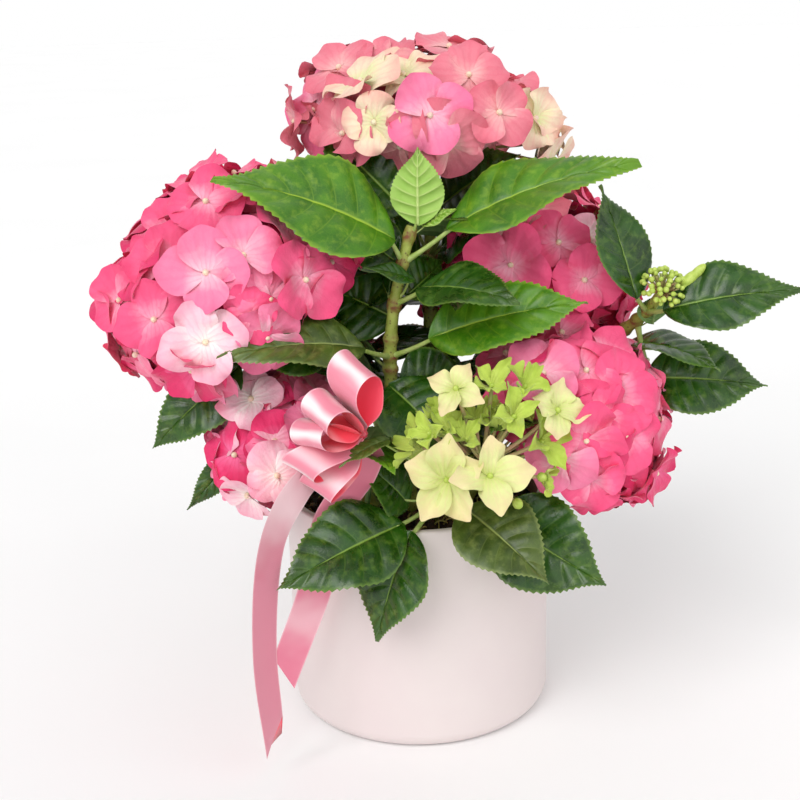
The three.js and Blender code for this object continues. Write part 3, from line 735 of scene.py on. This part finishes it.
def add_blade(heap, leaf, draw):
    """One leaf blade: folded, arched, quilted between its veins and toothed at its margin."""
    a, v, teeth, quilt, on_vein = blade_grid()
    length, crinkle = leaf.length, 2.4 if leaf.kind == "young" else 1.0
    sweep = BLADE.sweep * np.sin(math.pi * a).clip(0) ** 0.8
    s = np.clip(a + sweep * np.abs(v) ** 1.5 + 0.01 * teeth * np.sin(math.pi * a), 0, 1)
    at_margin = np.clip(a + sweep, 0, 1)
    edge = 0.009 * length * teeth * np.sin(math.pi * a).clip(0) ** 0.5
    wide = v * outline_share(at_margin) * leaf.width / 2 + np.sign(v) * edge
    phase, waves = draw() * 2 * math.pi, 1.2 + 0.9 * draw()
    high = BLADE.fold * np.abs(wide) * (1 - 0.42 * np.abs(v))
    high = high + 0.016 * length * crinkle * quilt - 0.45 * (v == 0) * (1 - a)
    high += 0.028 * length * v**2 * np.sin(2 * math.pi * waves * s + phase + 1.5 * np.sign(v))
    high += length * (0.035 * np.sin(math.pi * s) - leaf.droop * s**2)
    forward = direction(leaf.heading, leaf.rise)
    side = spin(unit(np.cross(forward, [0, 0, 1])), forward, leaf.roll)
    up = np.cross(side, forward)
    twist = math.radians(18) * (draw() - 0.5) * s
    lateral = wide + 0.07 * (draw() - 0.5) * length * s**2
    across = lateral * np.cos(twist) - high * np.sin(twist)
    lifted = lateral * np.sin(twist) + high * np.cos(twist)
    middle = (leaf.base + (s * length)[..., None] * forward + across[..., None] * side
              + lifted[..., None] * up)
    rib = np.exp(-(v / 0.05) ** 2) * (1 - a)
    under = BLADE.thickness / 2 + 0.9 * rib + 0.3 * on_vein
    pattern = np.stack([a, v / 2 + 0.5], axis=-1)
    kind = LEAF_KINDS.index(leaf.kind)
    add_shell(heap, middle[:, ::-1], BLADE.thickness / 2, under[:, ::-1], pattern[:, ::-1], kind,
              len(LEAF_KINDS) + (leaf.kind == "young"))


def add_leaf_stalk(heap, leaf):
    shoot = SHOOTS[leaf.shoot]
    root = on_cane(shoot, leaf.at)
    inside = leaf.base + direction(leaf.heading, leaf.rise) * 4.5
    low = mix(root, leaf.base, 0.55) - [0, 0, 2]
    share = np.linspace(0, 1, 12)
    path = bezier([root, low, inside], share)
    radii = BLADE.stalk * (1 - 0.3 * share) + 1.1 * np.exp(-share * 9)
    add_tube(heap, path, radii * min(1, leaf.length / 60), 8)


# ---------------------------------------------------------------- the photo's camera
CAMERA = SimpleNamespace(place=(-0.008, -0.725, 0.403), pitch=72.9, roll=-1.7, lens=60.255, film=36.0)
CAMERA_TURN = (Matrix.Rotation(math.radians(CAMERA.pitch), 4, "X")
               @ Matrix.Rotation(math.radians(CAMERA.roll), 4, "Z"))


def sight_line(px, py):
    """The way from the camera through a pixel of the photo."""
    scale = CAMERA.film / PHOTO_SIDE
    through = [(px - PHOTO_SIDE / 2) * scale, (PHOTO_SIDE / 2 - py) * scale, -CAMERA.lens]
    return unit(np.array(CAMERA_TURN.to_3x3()) @ through)


# ---------------------------------------------------------------- flowers
@lru_cache(maxsize=None)
def sepal_grid(steps):
    """A square grid pressed into a disc: share from base to tip, share across, rim and angle."""
    line = np.linspace(-1, 1, steps + 1)
    u, v = np.meshgrid(line, line, indexing="ij")
    x = u * np.sqrt(1 - v * v / 2)
    y = v * np.sqrt(1 - u * u / 2)
    return (1 + x) / 2, y, np.hypot(x, y), np.arctan2(y, x)


def add_sepal(heap, centre, out, normal, radius, shape, draw, paint):
    """One sepal, from the floret's centre outward: broad, cupped and ruffled at its rim."""
    reach, y, rim, angle = sepal_grid(SEPAL.steps)
    length = radius * (0.92 + 0.16 * draw())
    waist = 0.72 + 0.28 * smooth(reach, 0.0, 0.45)
    wide = y * waist * radius * SEPAL.half_width * shape.breadth * (0.92 + 0.16 * draw())
    tip = shape.point * length * np.exp(-(y / 0.3) ** 2) * smooth(reach, 0.6, 1.0)
    far = SEPAL.claw + reach * (length - SEPAL.claw) + tip
    phase, lobes = draw() * 2 * math.pi, 5 + 3 * draw()
    lift = shape.lift + 0.22 * (draw() - 0.5)
    high = length * (lift * reach + shape.bend * reach**2)
    crease = 0.05 * np.exp(-(y / 0.16) ** 2) * np.sin(math.pi * reach)
    high += radius * (shape.cross * y**2 * waist - crease)
    wave = rim**3 * np.sin(3 * angle + phase) * smooth(reach, 0.1, 0.5)
    fold = 0.9 * np.sin(2.2 * reach * math.pi + phase) * y
    frill = 0.5 * np.sin(lobes * angle + 2 * phase) * rim**6 * reach
    high += radius * shape.ruffle * (wave + fold + frill)
    side = np.cross(normal, out)
    tilt = math.radians(22 * (draw() - 0.5) + shape.roll)
    side, up = (side * math.cos(tilt) + normal * math.sin(tilt),
                normal * math.cos(tilt) - side * math.sin(tilt))
    middle = (centre + far[..., None] * out + wide[..., None] * side + high[..., None] * up)
    fan = np.arctan2(wide, far + 0.25 * radius) / math.pi + 0.5
    pattern = np.stack([reach, fan], axis=-1)
    half = SEPAL.thickness / 2
    add_shell(heap, middle, half, half, pattern, paint, paint)


def add_floret(heap, centre, normal, radius, paint, draw, shape, sepals=4):
    """A floret of broad sepals in two crossed pairs, one pair over the other."""
    first = unit(np.cross(normal, [0.3, 0.2, 0.9]))
    turn = 360 * draw()
    for k in range(sepals):
        out = spin(first, normal, turn + 360 / sepals * k + 12 * (draw() - 0.5))
        over = k % 2
        size = radius * (1 - 0.07 * over)
        add_sepal(heap, centre + normal * 0.9 * over, out, normal, size, shape, draw, paint)


def open_shape(draw):
    """How a full-grown floret spreads: from bent back with its cluster's dome to cupped."""
    return SimpleNamespace(breadth=1.0 + 0.12 * (draw() - 0.5), point=0.14 * draw() - 0.03,
                           lift=0.02 + 0.34 * draw(), bend=-0.26 + 0.24 * draw(),
                           cross=-0.2 + 0.34 * draw(), ruffle=0.05 + 0.06 * draw(), roll=5)


def tint_at(point, slot, draw):
    """The tint of a floret at a place."""
    chance = draw()
    for middle, radius, tint in reversed(TINT_PATCHES):
        if np.linalg.norm(point - np.array(middle)) < radius * (0.85 + 0.3 * draw()):
            return tint
    if slot == "blush_flower":
        return "light"
    return "deep" if chance < 0.3 else "light" if chance > 0.8 else "rose"


def seat_on(dome, spread, depth, polar, around):
    """A place on a cluster's dome, and the way out from it."""
    centre, pole, side, across = dome
    flat = side * math.sin(polar) * math.cos(around) + across * math.sin(polar) * math.sin(around)
    seat = centre + flat * spread + pole * math.cos(polar) * depth
    return seat, unit(flat / spread + pole * math.cos(polar) / depth)


def dome_places(count, edge, draw):
    """Places spread evenly over a dome: polar angle and angle round the pole."""
    for k in range(count):
        polar = math.acos(1 - (1 - math.cos(math.radians(edge))) * (k + 0.5) / count)
        yield polar, k * GOLDEN_ANGLE + 0.5 * draw()


def flower_stalk(heap, root, end, radius=0.9, sag=0.1):
    """A curved stalk from inside a cluster to the back of a floret. It sags by a share of its
    length."""
    middle = mix(root, end, 0.5) - [0, 0, sag * np.linalg.norm(end - root)]
    add_tube(heap, bezier([root, middle, end], np.linspace(0, 1, 6)), radius, 6)


def facing_places(name):
    """Where the florets that face the camera sit on a cluster: the first place of the cluster's
    skin that a pixel's line of sight meets, or comes nearest to."""
    spread, depth, *_ = HEADS[name]
    centre, pole, side, across = head_frame(SHOOTS[name])
    axes = np.array([side / spread, across / spread, pole / depth])
    eye = axes @ (np.array(CAMERA.place) / MM - centre)
    for px, py, radius, tint in FACING_FLORETS.get(name, ()):
        sight = sight_line(px, py)
        ray = axes @ sight
        b, c = eye @ ray / (ray @ ray), (eye @ eye - 1) / (ray @ ray)
        hit = eye + (-b - math.sqrt(max(b * b - c, 0))) * ray
        seat = centre + np.linalg.inv(axes) @ hit
        yield seat, unit(unit(axes.T @ hit) - HEAD.toward_camera * sight), radius, tint


def grow_floret(shoot, centre, normal, size, tint, draw, pieces):
    sepals, buds, stalks = pieces
    add_floret(sepals, centre, normal, size, TINTS.index(tint), draw, open_shape(draw))
    add_ball(buds, centre + normal * 1.4, normal, 1.7, 1.9)
    flower_stalk(stalks, on_cane(shoot, 0.93 + 0.06 * draw()), centre)


def grow_head(name, pieces):
    """A full flower cluster: florets that face the camera, then an outer and an inner layer."""
    spread, depth, solid_florets, radius, slot = HEADS[name]
    shoot = SHOOTS[name]
    dome = head_frame(shoot)
    draw = seeded(shoot.seed + HEAD_SEED)
    taken = []
    for k, (seat, normal, size, tint) in enumerate(facing_places(name)):
        centre = seat - normal * (HEAD.sunk * size + HEAD.step * (k % 3))
        taken.append(seat)
        grow_floret(shoot, centre, normal, size, tint, draw, pieces)
    outer = round(solid_florets * HEAD.florets_per_solid)
    for k, (polar, around) in enumerate(dome_places(outer, HEAD.edge, draw)):
        seat, normal = seat_on(dome, spread, depth, polar, around)
        seat = mix(shoot.top, seat, 0.94 + 0.12 * draw())
        lean = unit(np.array([draw(), draw(), draw()]) - 0.5)
        size = radius * (0.93 + 0.2 * draw())
        if any(np.linalg.norm(seat - other) < HEAD.spacing * radius for other in taken):
            continue
        centre = seat - normal * (HEAD.sunk * size + HEAD.step * (k % 3) + 2 * draw())
        centre[2] -= HEAD_SLOPES.get(name, 0) * max(0, centre[0] - shoot.top[0])
        grow_floret(shoot, centre, unit(normal + 0.4 * draw() * lean), size,
                    tint_at(centre, slot, draw), draw, pieces)
    for polar, around in dome_places(round(outer * HEAD.inner_share), HEAD.edge, draw):
        seat, normal = seat_on(dome, spread, depth, polar, around)
        centre = mix(shoot.top, seat, HEAD.inner_reach)
        # Painted shade: the inner layer takes a darker tint than the outer florets, deep (dusty in the
        # top cluster), for the shadow in the gaps between them.
        shaded_inner_tint = "dusty" if name == "top" else "deep"
        grow_floret(shoot, centre, normal, radius * 0.95, shaded_inner_tint, draw, pieces)


def star_shape(draw):
    """How a young floret stands: narrow, pointed sepals, half closed."""
    return SimpleNamespace(breadth=0.8, point=0.2, lift=0.15 + 0.55 * draw(), bend=-0.2 + 0.2 * draw(),
                           cross=0.3 * draw(), ruffle=0.09, roll=6)


def crumpled_shape(draw):
    """How the smallest florets stand: narrow, folded along their middle and nearly closed."""
    return SimpleNamespace(breadth=0.72, point=0.3, lift=0.45 + 0.5 * draw(), bend=0.1 * draw(),
                           cross=0.2 + 0.4 * draw(), ruffle=0.16, roll=10)


# Young florets with a place of their own: centre, the way it faces, radius, sepals, tint.
YOUNG_FLORETS = [
    ([14, -104, 170], [-0.15, -0.9, 0.3], 20, 5, "young"),
    ([35, -106, 172], [0.15, -0.85, 0.4], 18, 4, "young"),
    ([20, -92, 213], [-0.3, -0.75, 0.6], 14, 4, "young"),
    ([70, -88, 199], [0.4, -0.75, 0.5], 15, 4, "young"),
    ([62, -86, 182], [0.5, -0.75, 0.4], 13, 4, "lime"),
    ([7, -92, 190], [-0.5, -0.7, 0.5], 9, 4, "lime"),
    ([38, -84, 211], [0.0, -0.6, 0.8], 10, 4, "lime"),
    ([54, -84, 210], [0.3, -0.6, 0.75], 10, 4, "lime"),
    ([48, -94, 198], [0.1, -0.8, 0.6], 11, 4, "lime"),
]


def grow_green_head(sepals, buds, stalks):
    """The young cluster: a few pale large florets, small bright ones, and round buds."""
    shoot = SHOOTS["green"]
    dome = head_frame(shoot)
    draw = seeded(shoot.seed + HEAD_SEED)
    for centre, face, radius, count, tint in YOUNG_FLORETS:
        centre, normal = np.array(centre, float), unit(face)
        shape = (star_shape if tint == "young" else crumpled_shape)(draw)
        add_floret(sepals, centre, normal, radius, TINTS.index(tint), draw, shape, count)
        add_ball(buds, centre + normal * 1.2, normal, 1.6, 1.9, paint=1)
        flower_stalk(stalks, on_cane(shoot, 0.95), centre, radius=1.1)
    for polar, around in dome_places(GREEN_HEAD.places, GREEN_HEAD.edge, draw):
        seat, normal = seat_on(dome, *GREEN_HEAD.size, polar, around)
        centre = mix(shoot.top, seat, 0.7 + 0.25 * draw())
        if any(np.linalg.norm(centre - row[0]) < row[2] for row in YOUNG_FLORETS):
            continue
        if draw() < GREEN_HEAD.small_florets:
            size = 7 + 5 * draw()
            add_floret(sepals, centre, normal, size, TINTS.index("lime"), draw, crumpled_shape(draw))
            add_ball(buds, centre + normal, normal, 1.2, 1.4, paint=1)
        else:
            add_ball(buds, centre, normal, 2.0 + draw(), 2.3 + draw(), paint=1)
        flower_stalk(stalks, on_cane(shoot, 0.9 + 0.1 * draw()), centre, radius=0.8)


def grow_bud_head(buds, stalks):
    """The tight cluster of round green buds at the right, and a leaf bud beside it."""
    shoot = SHOOTS["bud"]
    dome = head_frame(shoot)
    draw = seeded(shoot.seed + HEAD_SEED)
    for polar, around in dome_places(BUD_HEAD.places, BUD_HEAD.edge, draw):
        seat, normal = seat_on(dome, *BUD_HEAD.size, polar, around)
        size = 1.2 + 0.5 * draw()
        add_ball(buds, seat - normal * draw(), normal, size, size * 1.1, rows=7, sides=10, paint=1)
        flower_stalk(stalks, on_cane(shoot, 0.97), seat - normal * 2 * size, radius=0.5, sag=1 / 60)
    for offset, radius in LEAF_BUD:
        add_ball(buds, shoot.top + offset, [0.7, 0, 0.7], radius, 6, rows=9, sides=10, paint=1)


# ---------------------------------------------------------------- bow
# Each loop reaches from the knot to its tip, the ribbon's width lying along an axis. The third
# value is half of the loop's height.
LOOPS = [
    ([-6, -12, 40], [0.7, -0.35, -0.6], 10),
    ([-23, -18, 21], [0.65, -0.6, -0.45], 8),
    ([-30, -16, 7], [0.8, -0.6, 0], 7),
    ([-35, -13, -13], [0.8, -0.4, -0.4], 6),
    ([-27, -9, -26], [0.8, -0.4, -0.45], 5),
]

# Each hanging end: its route, the heading of its width at the knot and at its tip, how far its cut
# slants, and the number of its front's material.
TAILS = [
    ([[-27, -82, 182], [-42, -82, 174], [-60, -92, 163], [-75, -104, 135], [-82, -98, 75],
      [-80, -91, 14]], 30, 64, 14, 0),
    ([[-24, -84, 184], [-31, -78, 163], [-46, -74, 138], [-56, -78, 100], [-71, -84, 63]],
     10, 30, -16, 2),
]

# Each face of the ribbon: its colour, its rim, and its painted highlights as satin_material has them.
# The inner face is the ribbon's coral back, painted brighter for the light that shines through it; the
# shade face is a deeper copy of the front for the right-hand tail, painted shade as that tail hangs in
# shadow.
SATINS = {
    "inner": ("fa4a62", "ff7a8a", [(0.75, 0.08, 0.3)]),
    "outer": ("e6879b", "f3b4c0", [(0.3, 0.09, 0.5), (0.52, 0.08, 0.95)]),
    "fall": ("de7f96", "f3b4c0", [(0.46, 0.2, 0.6)]),
    "shade": ("e67c96", "f3b4c0", [(0.85, 0.12, 0.35)]),
}
PAINTED_HIGHLIGHT = "fff1f2"


def add_band(heap, path, side, width, paint_out, paint_in, belly):
    """A ribbon along a path: side and width for each point, and how far its middle stands out."""
    share = np.linspace(-1, 1, RIBBON.columns)
    face = units(np.cross(side, np.gradient(path, axis=0)))
    middle = (path[:, None] + side[:, None] * (share[None, :, None] * width[:, None, None] / 2)
              + face[:, None] * (belly * (1 - share**2))[None, :, None])
    along, across = np.meshgrid(np.linspace(0, 1, len(path)), share / 2 + 0.5, indexing="ij")
    half = RIBBON.thickness / 2
    add_shell(heap, middle, half, half, np.stack([along, across], axis=-1), paint_out, paint_in)


def add_loop(heap, tip, axis, half):
    """A drop-shaped loop of ribbon, widest near its tip. At the knot it is gathered, and lies
    behind the knot's near side."""
    length = np.linalg.norm(tip)
    x, z = unit(tip), unit(axis)
    y = unit(np.cross(z, x))
    t = np.linspace(0.015, 0.985, RIBBON.loop_rows)
    out = np.sin(math.pi * t)
    far = length * (0.04 + 0.96 * out**1.3)
    high = -1.3 * half * np.sin(2 * math.pi * t) * out
    gathered = 1 - smooth(out, 0.05, 0.6)
    back = RIBBON.width * 0.4 * gathered
    path = KNOT + far[:, None] * x + high[:, None] * y - back[:, None] * z
    width = RIBBON.width * (1 - 0.2 * gathered)
    add_band(heap, path, np.repeat(z[None], len(t), axis=0), width, 0, 1, belly=0.8)


def add_tail(heap, route, face_from, face_to, cut, paint):
    """A hanging end of ribbon, turning slowly, cut on the slant by pulling its last rows."""
    t = np.linspace(0, 1, RIBBON.tail_rows)
    path = spline(route, t)
    angle = np.radians(mix(face_from, face_to, t))
    side = np.stack([np.cos(angle), np.sin(angle), np.zeros_like(angle)], axis=-1)
    tangent = units(np.gradient(path, axis=0))
    side = units(side - np.sum(side * tangent, axis=1, keepdims=True) * tangent)
    width = RIBBON.width * mix(0.55, 1.0, smooth(t, 0.0, 0.1))
    add_band(heap, path, side, width, paint, 1, belly=0.6)
    skin = heap.points[-1][:len(t) * RIBBON.columns].reshape(len(t), RIBBON.columns, 3)
    pull = smooth(t, 0.9, 1.0)[:, None] * np.linspace(0, 1, RIBBON.columns) * cut
    skin -= pull[..., None] * unit(path[-1] - path[-6])


def add_knot(heap):
    """The gathered middle of the bow, wrapped by a narrow pleated band."""
    axis = unit([0.55, -0.8, 0.1])
    polar = np.linspace(0.12, math.pi - 0.12, 13)
    middle = KNOT + [-3, 4, 0]
    path = middle - np.cos(polar)[:, None] * axis * RIBBON.knot
    sides, pleats = 32, 8
    rings = tube_rings(path, np.sin(polar) ** 0.7 * RIBBON.knot * 0.95, sides)
    pleat = 1 + 0.05 * np.cos(np.arange(sides) * 2 * math.pi / sides * pleats)
    add_rings(heap, middle + (rings - middle) * pleat[None, :, None])


# ---------------------------------------------------------------- pot and soil
def lathe_rings(outline, facets):
    """Rings of points round Z, one for each radius and height of an outline."""
    angle = np.arange(facets) * 2 * math.pi / facets
    r, z = np.asarray(outline, float).T
    return np.stack([r[:, None] * np.cos(angle), r[:, None] * np.sin(angle),
                     np.repeat(z[:, None], facets, axis=1)], axis=-1)


def arc(centre, radius, start, end, steps):
    """Points of an arc of an outline, its start and end in degrees."""
    return [(centre[0] + radius * math.cos(a), centre[1] + radius * math.sin(a))
            for a in np.radians(np.linspace(start, end, steps))]


def pot_outline():
    """From the middle of the underside up the outside, over the rim and down the inside, and how
    many of the points come before the inside."""
    inner = POT.radius - POT.wall
    corner = (POT.radius - POT.corner, POT.corner)
    outside = [(2, 0), (POT.radius / 2, 0), *arc(corner, POT.corner, -90, 0, 12)]
    wall = [(POT.radius, z) for z in np.linspace(POT.corner + 8, POT.height - POT.rim - 2, 12)]
    rim = [*arc((POT.radius - POT.rim, POT.height - POT.rim), POT.rim, 0, 90, 5),
           *arc((inner + POT.rim, POT.height - POT.rim), POT.rim, 90, 180, 5)]
    inside = [(inner, z) for z in (*POT.inner_levels, POT.floor)]
    middle = [(inner / 2, POT.floor), (2, POT.floor)]
    return outside + wall + rim + inside + middle, len(outside + wall + rim)


def build_pot():
    heap = Heap()
    outline, turn = pot_outline()
    add_rings(heap, lathe_rings(outline, POT.facets))
    rows = np.repeat(np.arange(len(outline) - 1), POT.facets)
    ends = np.zeros(POT.facets - 2, int)
    heap.paints[-1] = np.concatenate([rows >= turn - 1, ends]).astype(int)
    glaze = mottled_material("pot_glaze", "e0d3d2", "e2d6d4", 30.0, 0.42, 0.1)
    # The inside, from below the rim, is a darker reddish brown than the glaze.
    inside = mottled_material("pot_inside", "b57f76", "8c5a4e", 60.0, 0.6, 0.2)
    heap.build("pot_body", [glaze, inside], "pot", ["pot"])


def relief(x, y, scale, seed=0.0):
    return noise.fractal((x * scale, y * scale, seed), 0.8, 2.1, 4)


def soil_height(x, y):
    """Height of the soil: a low crown with lumps."""
    r = math.hypot(x, y)
    crown = SOIL.crown * (1 - smooth(r, 40, SOIL.wide)) - 2.0 * smooth(r, 60, SOIL.wide)
    return SOIL.top + float(crown) + 1.8 * relief(x, y, 0.07) + 0.9 * relief(x, y, 0.3, 9.0)


def build_soil():
    heap = Heap()
    radii = np.concatenate([[SOIL.wide], np.linspace(SOIL.wide - 0.5, 1.5, SOIL.rings)])
    flat = lathe_rings([(r, 0) for r in radii], SOIL.facets)
    for point in flat[1:].reshape(-1, 3):
        point[2] = soil_height(point[0], point[1])
    flat[0, :, 2] = flat[1, :, 2] - 1.0
    low = lathe_rings([(2, POT.floor + GAP), (SOIL.wide, POT.floor + GAP)], SOIL.facets)
    add_rings(heap, np.concatenate([low, flat]))
    peat = mottled_material("peat", "1f130c", "3b2618", 160.0, 0.95, 1.6)
    heap.build("soil_bed", [peat], "soil", ["soil"])


def scatter_soil():
    """Crumbs of bark and peat, and pale moss threads, over the soil."""
    draw = seeded(5)
    crumbs, threads = Heap(), Heap()
    for _ in range(SOIL.crumbs):
        r, angle = (SOIL.wide - 3) * math.sqrt(draw()), 2 * math.pi * draw()
        x, y = r * math.cos(angle), r * math.sin(angle)
        size = 0.9 + 2.2 * draw() ** 2
        axis = unit([draw() - 0.5, draw() - 0.5, draw() * 0.6 + 0.05])
        add_ball(crumbs, [x, y, soil_height(x, y) + size * 0.3], axis, size, size * (0.8 + draw()),
                 rows=5, sides=6, paint=int(draw() > 0.7))
    for _ in range(SOIL.threads):
        r, angle = (SOIL.wide - 6) * (0.4 + 0.6 * draw()), 2 * math.pi * draw()
        x, y = r * math.cos(angle), r * math.sin(angle)
        start = np.array([x, y, soil_height(x, y)])
        way = direction(360 * draw(), 10) * (5 + 7 * draw())
        arch = [start, start + way * 0.4 + [0, 0, 3 + 4 * draw()], start + way]
        add_tube(threads, bezier(arch, np.linspace(0, 1, 7)), 0.35 + 0.25 * draw(), 6)
    bark = [mottled_material("bark_crumb", "2a1a10", "4a3120", 300.0, 0.9, 0.5),
            mottled_material("pale_crumb", "6b4a30", "8d6c49", 300.0, 0.85, 0.4)]
    crumbs.build("soil_crumbs", bark, "soil")
    moss = mottled_material("moss_thread", "8d8440", "b5a562", 250.0, 0.8, 0.2)
    threads.build("moss_threads", [moss], "soil")


# ---------------------------------------------------------------- building the plant
def build_canes(leaves):
    """All canes in one piece, swollen at the joints that carry leaves."""
    heap = Heap()
    for shoot in SHOOTS.values():
        t = np.linspace(0, 1 if shoot.name == "centre" else 0.97, CANE.rows)
        path = bezier(shoot.controls, t)
        near = np.zeros_like(t)
        for joint in {leaf.at for leaf in leaves if leaf.shoot == shoot.name}:
            near = np.maximum(near, np.exp(-((t - joint) / CANE.joint_share) ** 2))
        radii = mix(CANE.foot, CANE.neck, t) * (1 + CANE.swelling * near)
        add_rings(heap, tube_rings(path, radii, CANE.sides), np.stack([t, near], axis=-1))
    heap.build("canes", [cane_material()], "cane", [f"stem_{name}" for name in SHOOTS])


def build_leaves(leaves):
    greens = [leaf_material(f"leaf_{kind}", *row) for kind, row in GREENS.items()]
    greens += [under_material("leaf_under", "5f8440", "98b470"),
               under_material("leaf_young_under", "94bd50", "c8dc88")]
    stalks = Heap()
    for name in SHOOTS:
        heap = Heap()
        draw = seeded(SHOOTS[name].seed + BLADE_SEED)
        for leaf in leaves:
            if leaf.shoot == name:
                add_blade(heap, leaf, draw)
                add_leaf_stalk(stalks, leaf)
        if heap.points:
            heap.build(f"blades_{name}", greens, "leaf", [f"leaves_{name}"])
    stalk_green = mottled_material("leaf_stalk_green", "9cb558", "b7c878", 200.0, 0.5, 0.2)
    stalks.build("leaf_stalks", [stalk_green], "cane")


def build_flowers():
    tints = [sepal_material(f"sepal_{tint}", *row) for tint, row in SEPAL_COLOURS.items()]
    bud_colours = [mottled_material("floret_bud", "f4ecc4", "eecfc0", 500.0, 0.5, 0.1),
                   mottled_material("green_bud", "a9c24a", "c8da6c", 400.0, 0.45, 0.1)]
    stalk_colours = [mottled_material("flower_stalk", "b4bf70", "cc9f82", 120.0, 0.55, 0.1)]
    buds, stalks = Heap(), Heap()
    for name, (*_, slot) in HEADS.items():
        sepals = Heap()
        grow_head(name, (sepals, buds, stalks))
        sepals.build(f"florets_{name}", tints, slot, [f"head_{name}"])
    young = Heap()
    grow_green_head(young, buds, stalks)
    young.build("florets_green", tints, "lime_flower", ["head_green"])
    bud_cluster = Heap()
    grow_bud_head(bud_cluster, stalks)
    bud_cluster.build("buds_right", bud_colours, "lime_flower", ["head_bud"])
    buds.build("floret_buds", bud_colours, "blush_flower")
    stalks.build("flower_stalks", stalk_colours, "cane")


def build_bow():
    loops, tails, knot, pick = Heap(), Heap(), Heap(), Heap()
    for row in LOOPS:
        add_loop(loops, *row)
    for row in TAILS:
        add_tail(tails, *row)
    add_knot(knot)
    inner, outer, fall, shade = (satin_material(f"satin_{kind}", *row) for kind, row in SATINS.items())
    loops.build("bow_loops", [outer, inner], "ribbon", ["bow"])
    tails.build("bow_tails", [fall, inner, shade], "ribbon")
    knot.build("bow_knot", [inner], "ribbon")
    foot = np.array([-30, -42, SOIL.top + SOIL.crown - 2.0])
    rod = mix(foot, KNOT + [4, 8, -4], np.linspace(0, 1, 16)[:, None])
    add_tube(pick, rod, RIBBON.pick, 10)
    pick.build("bow_stick", [mottled_material("painted_stick", "4b6a34", "5f7f42", 200.0, 0.6, 0.2)],
               "pick", ["bow_pick"])


# ---------------------------------------------------------------- camera, light and floor
FLOOR = SimpleNamespace(radius=12.0, rings=9, facets=96)
WORLD = SimpleNamespace(on_plant=0.56, seen=1.0)


def build_camera():
    data = bpy.data.cameras.new("camera")
    data.lens, data.sensor_width = CAMERA.lens, CAMERA.film
    data.clip_start, data.clip_end = 0.05, 60.0
    camera = bpy.data.objects.new("camera", data)
    camera.matrix_world = Matrix.Translation(CAMERA.place) @ CAMERA_TURN
    bpy.context.scene.collection.objects.link(camera)
    bpy.context.scene.camera = camera


def soft_light(name, toward, strength, spread):
    """A broad far lamp that shines from a direction, as a large diffuser does."""
    data = bpy.data.lights.new(name, "SUN")
    data.energy, data.angle = strength, math.radians(spread)
    lamp = bpy.data.objects.new(name, data)
    lamp.matrix_world = Vector(toward).to_track_quat("Z", "Y").to_matrix().to_4x4()
    bpy.context.scene.collection.objects.link(lamp)


def build_lights():
    soft_light("key", (-0.45, -0.75, 0.75), 1.5, 40)
    soft_light("fill", (0.6, -0.8, 0.3), 0.85, 80)
    soft_light("back", (0.3, 0.8, 0.8), 0.45, 80)
    world = bpy.data.worlds.new("studio")
    world.use_nodes = True
    background = world.node_tree.nodes["Background"]
    background.inputs["Color"].default_value = (1, 1, 1, 1)
    seen = node(world.node_tree, "ShaderNodeLightPath", {})
    strength = seen.between(0, 1, WORLD.on_plant, WORLD.seen)
    world.node_tree.links.new(strength.socket, background.inputs["Strength"])
    bpy.context.scene.world = world


def build_floor():
    heap = Heap()
    radii = np.geomspace(0.02, FLOOR.radius, FLOOR.rings) / MM
    outline = [(r, -6.0) for r in radii] + [(r, -0.01) for r in radii[::-1]]
    add_rings(heap, lathe_rings(outline, FLOOR.facets))
    mesh = bpy.data.meshes.new("floor")
    mesh.from_pydata(np.vstack(heap.points) * MM, [], np.vstack(heap.faces))
    mesh.materials.append(mottled_material("floor_paint", "fafafa", "fcfcfc", 3.0, 0.8, 0.05))
    floor = bpy.data.objects.new("floor", mesh)
    bpy.context.scene.collection.objects.link(floor)


build_camera()
build_lights()
build_floor()
bpy.context.scene.view_settings.view_transform = "Standard"

leaves = [Leaf(*row) for row in PLACED_LEAVES]
middles = [blade_middle(leaf) for leaf in leaves]
leaves += ruled_leaves(middles)
leaves += inner_leaves(middles)
build_pot()
build_soil()
scatter_soil()
build_canes(leaves)
build_leaves(leaves)
build_flowers()
build_bow()
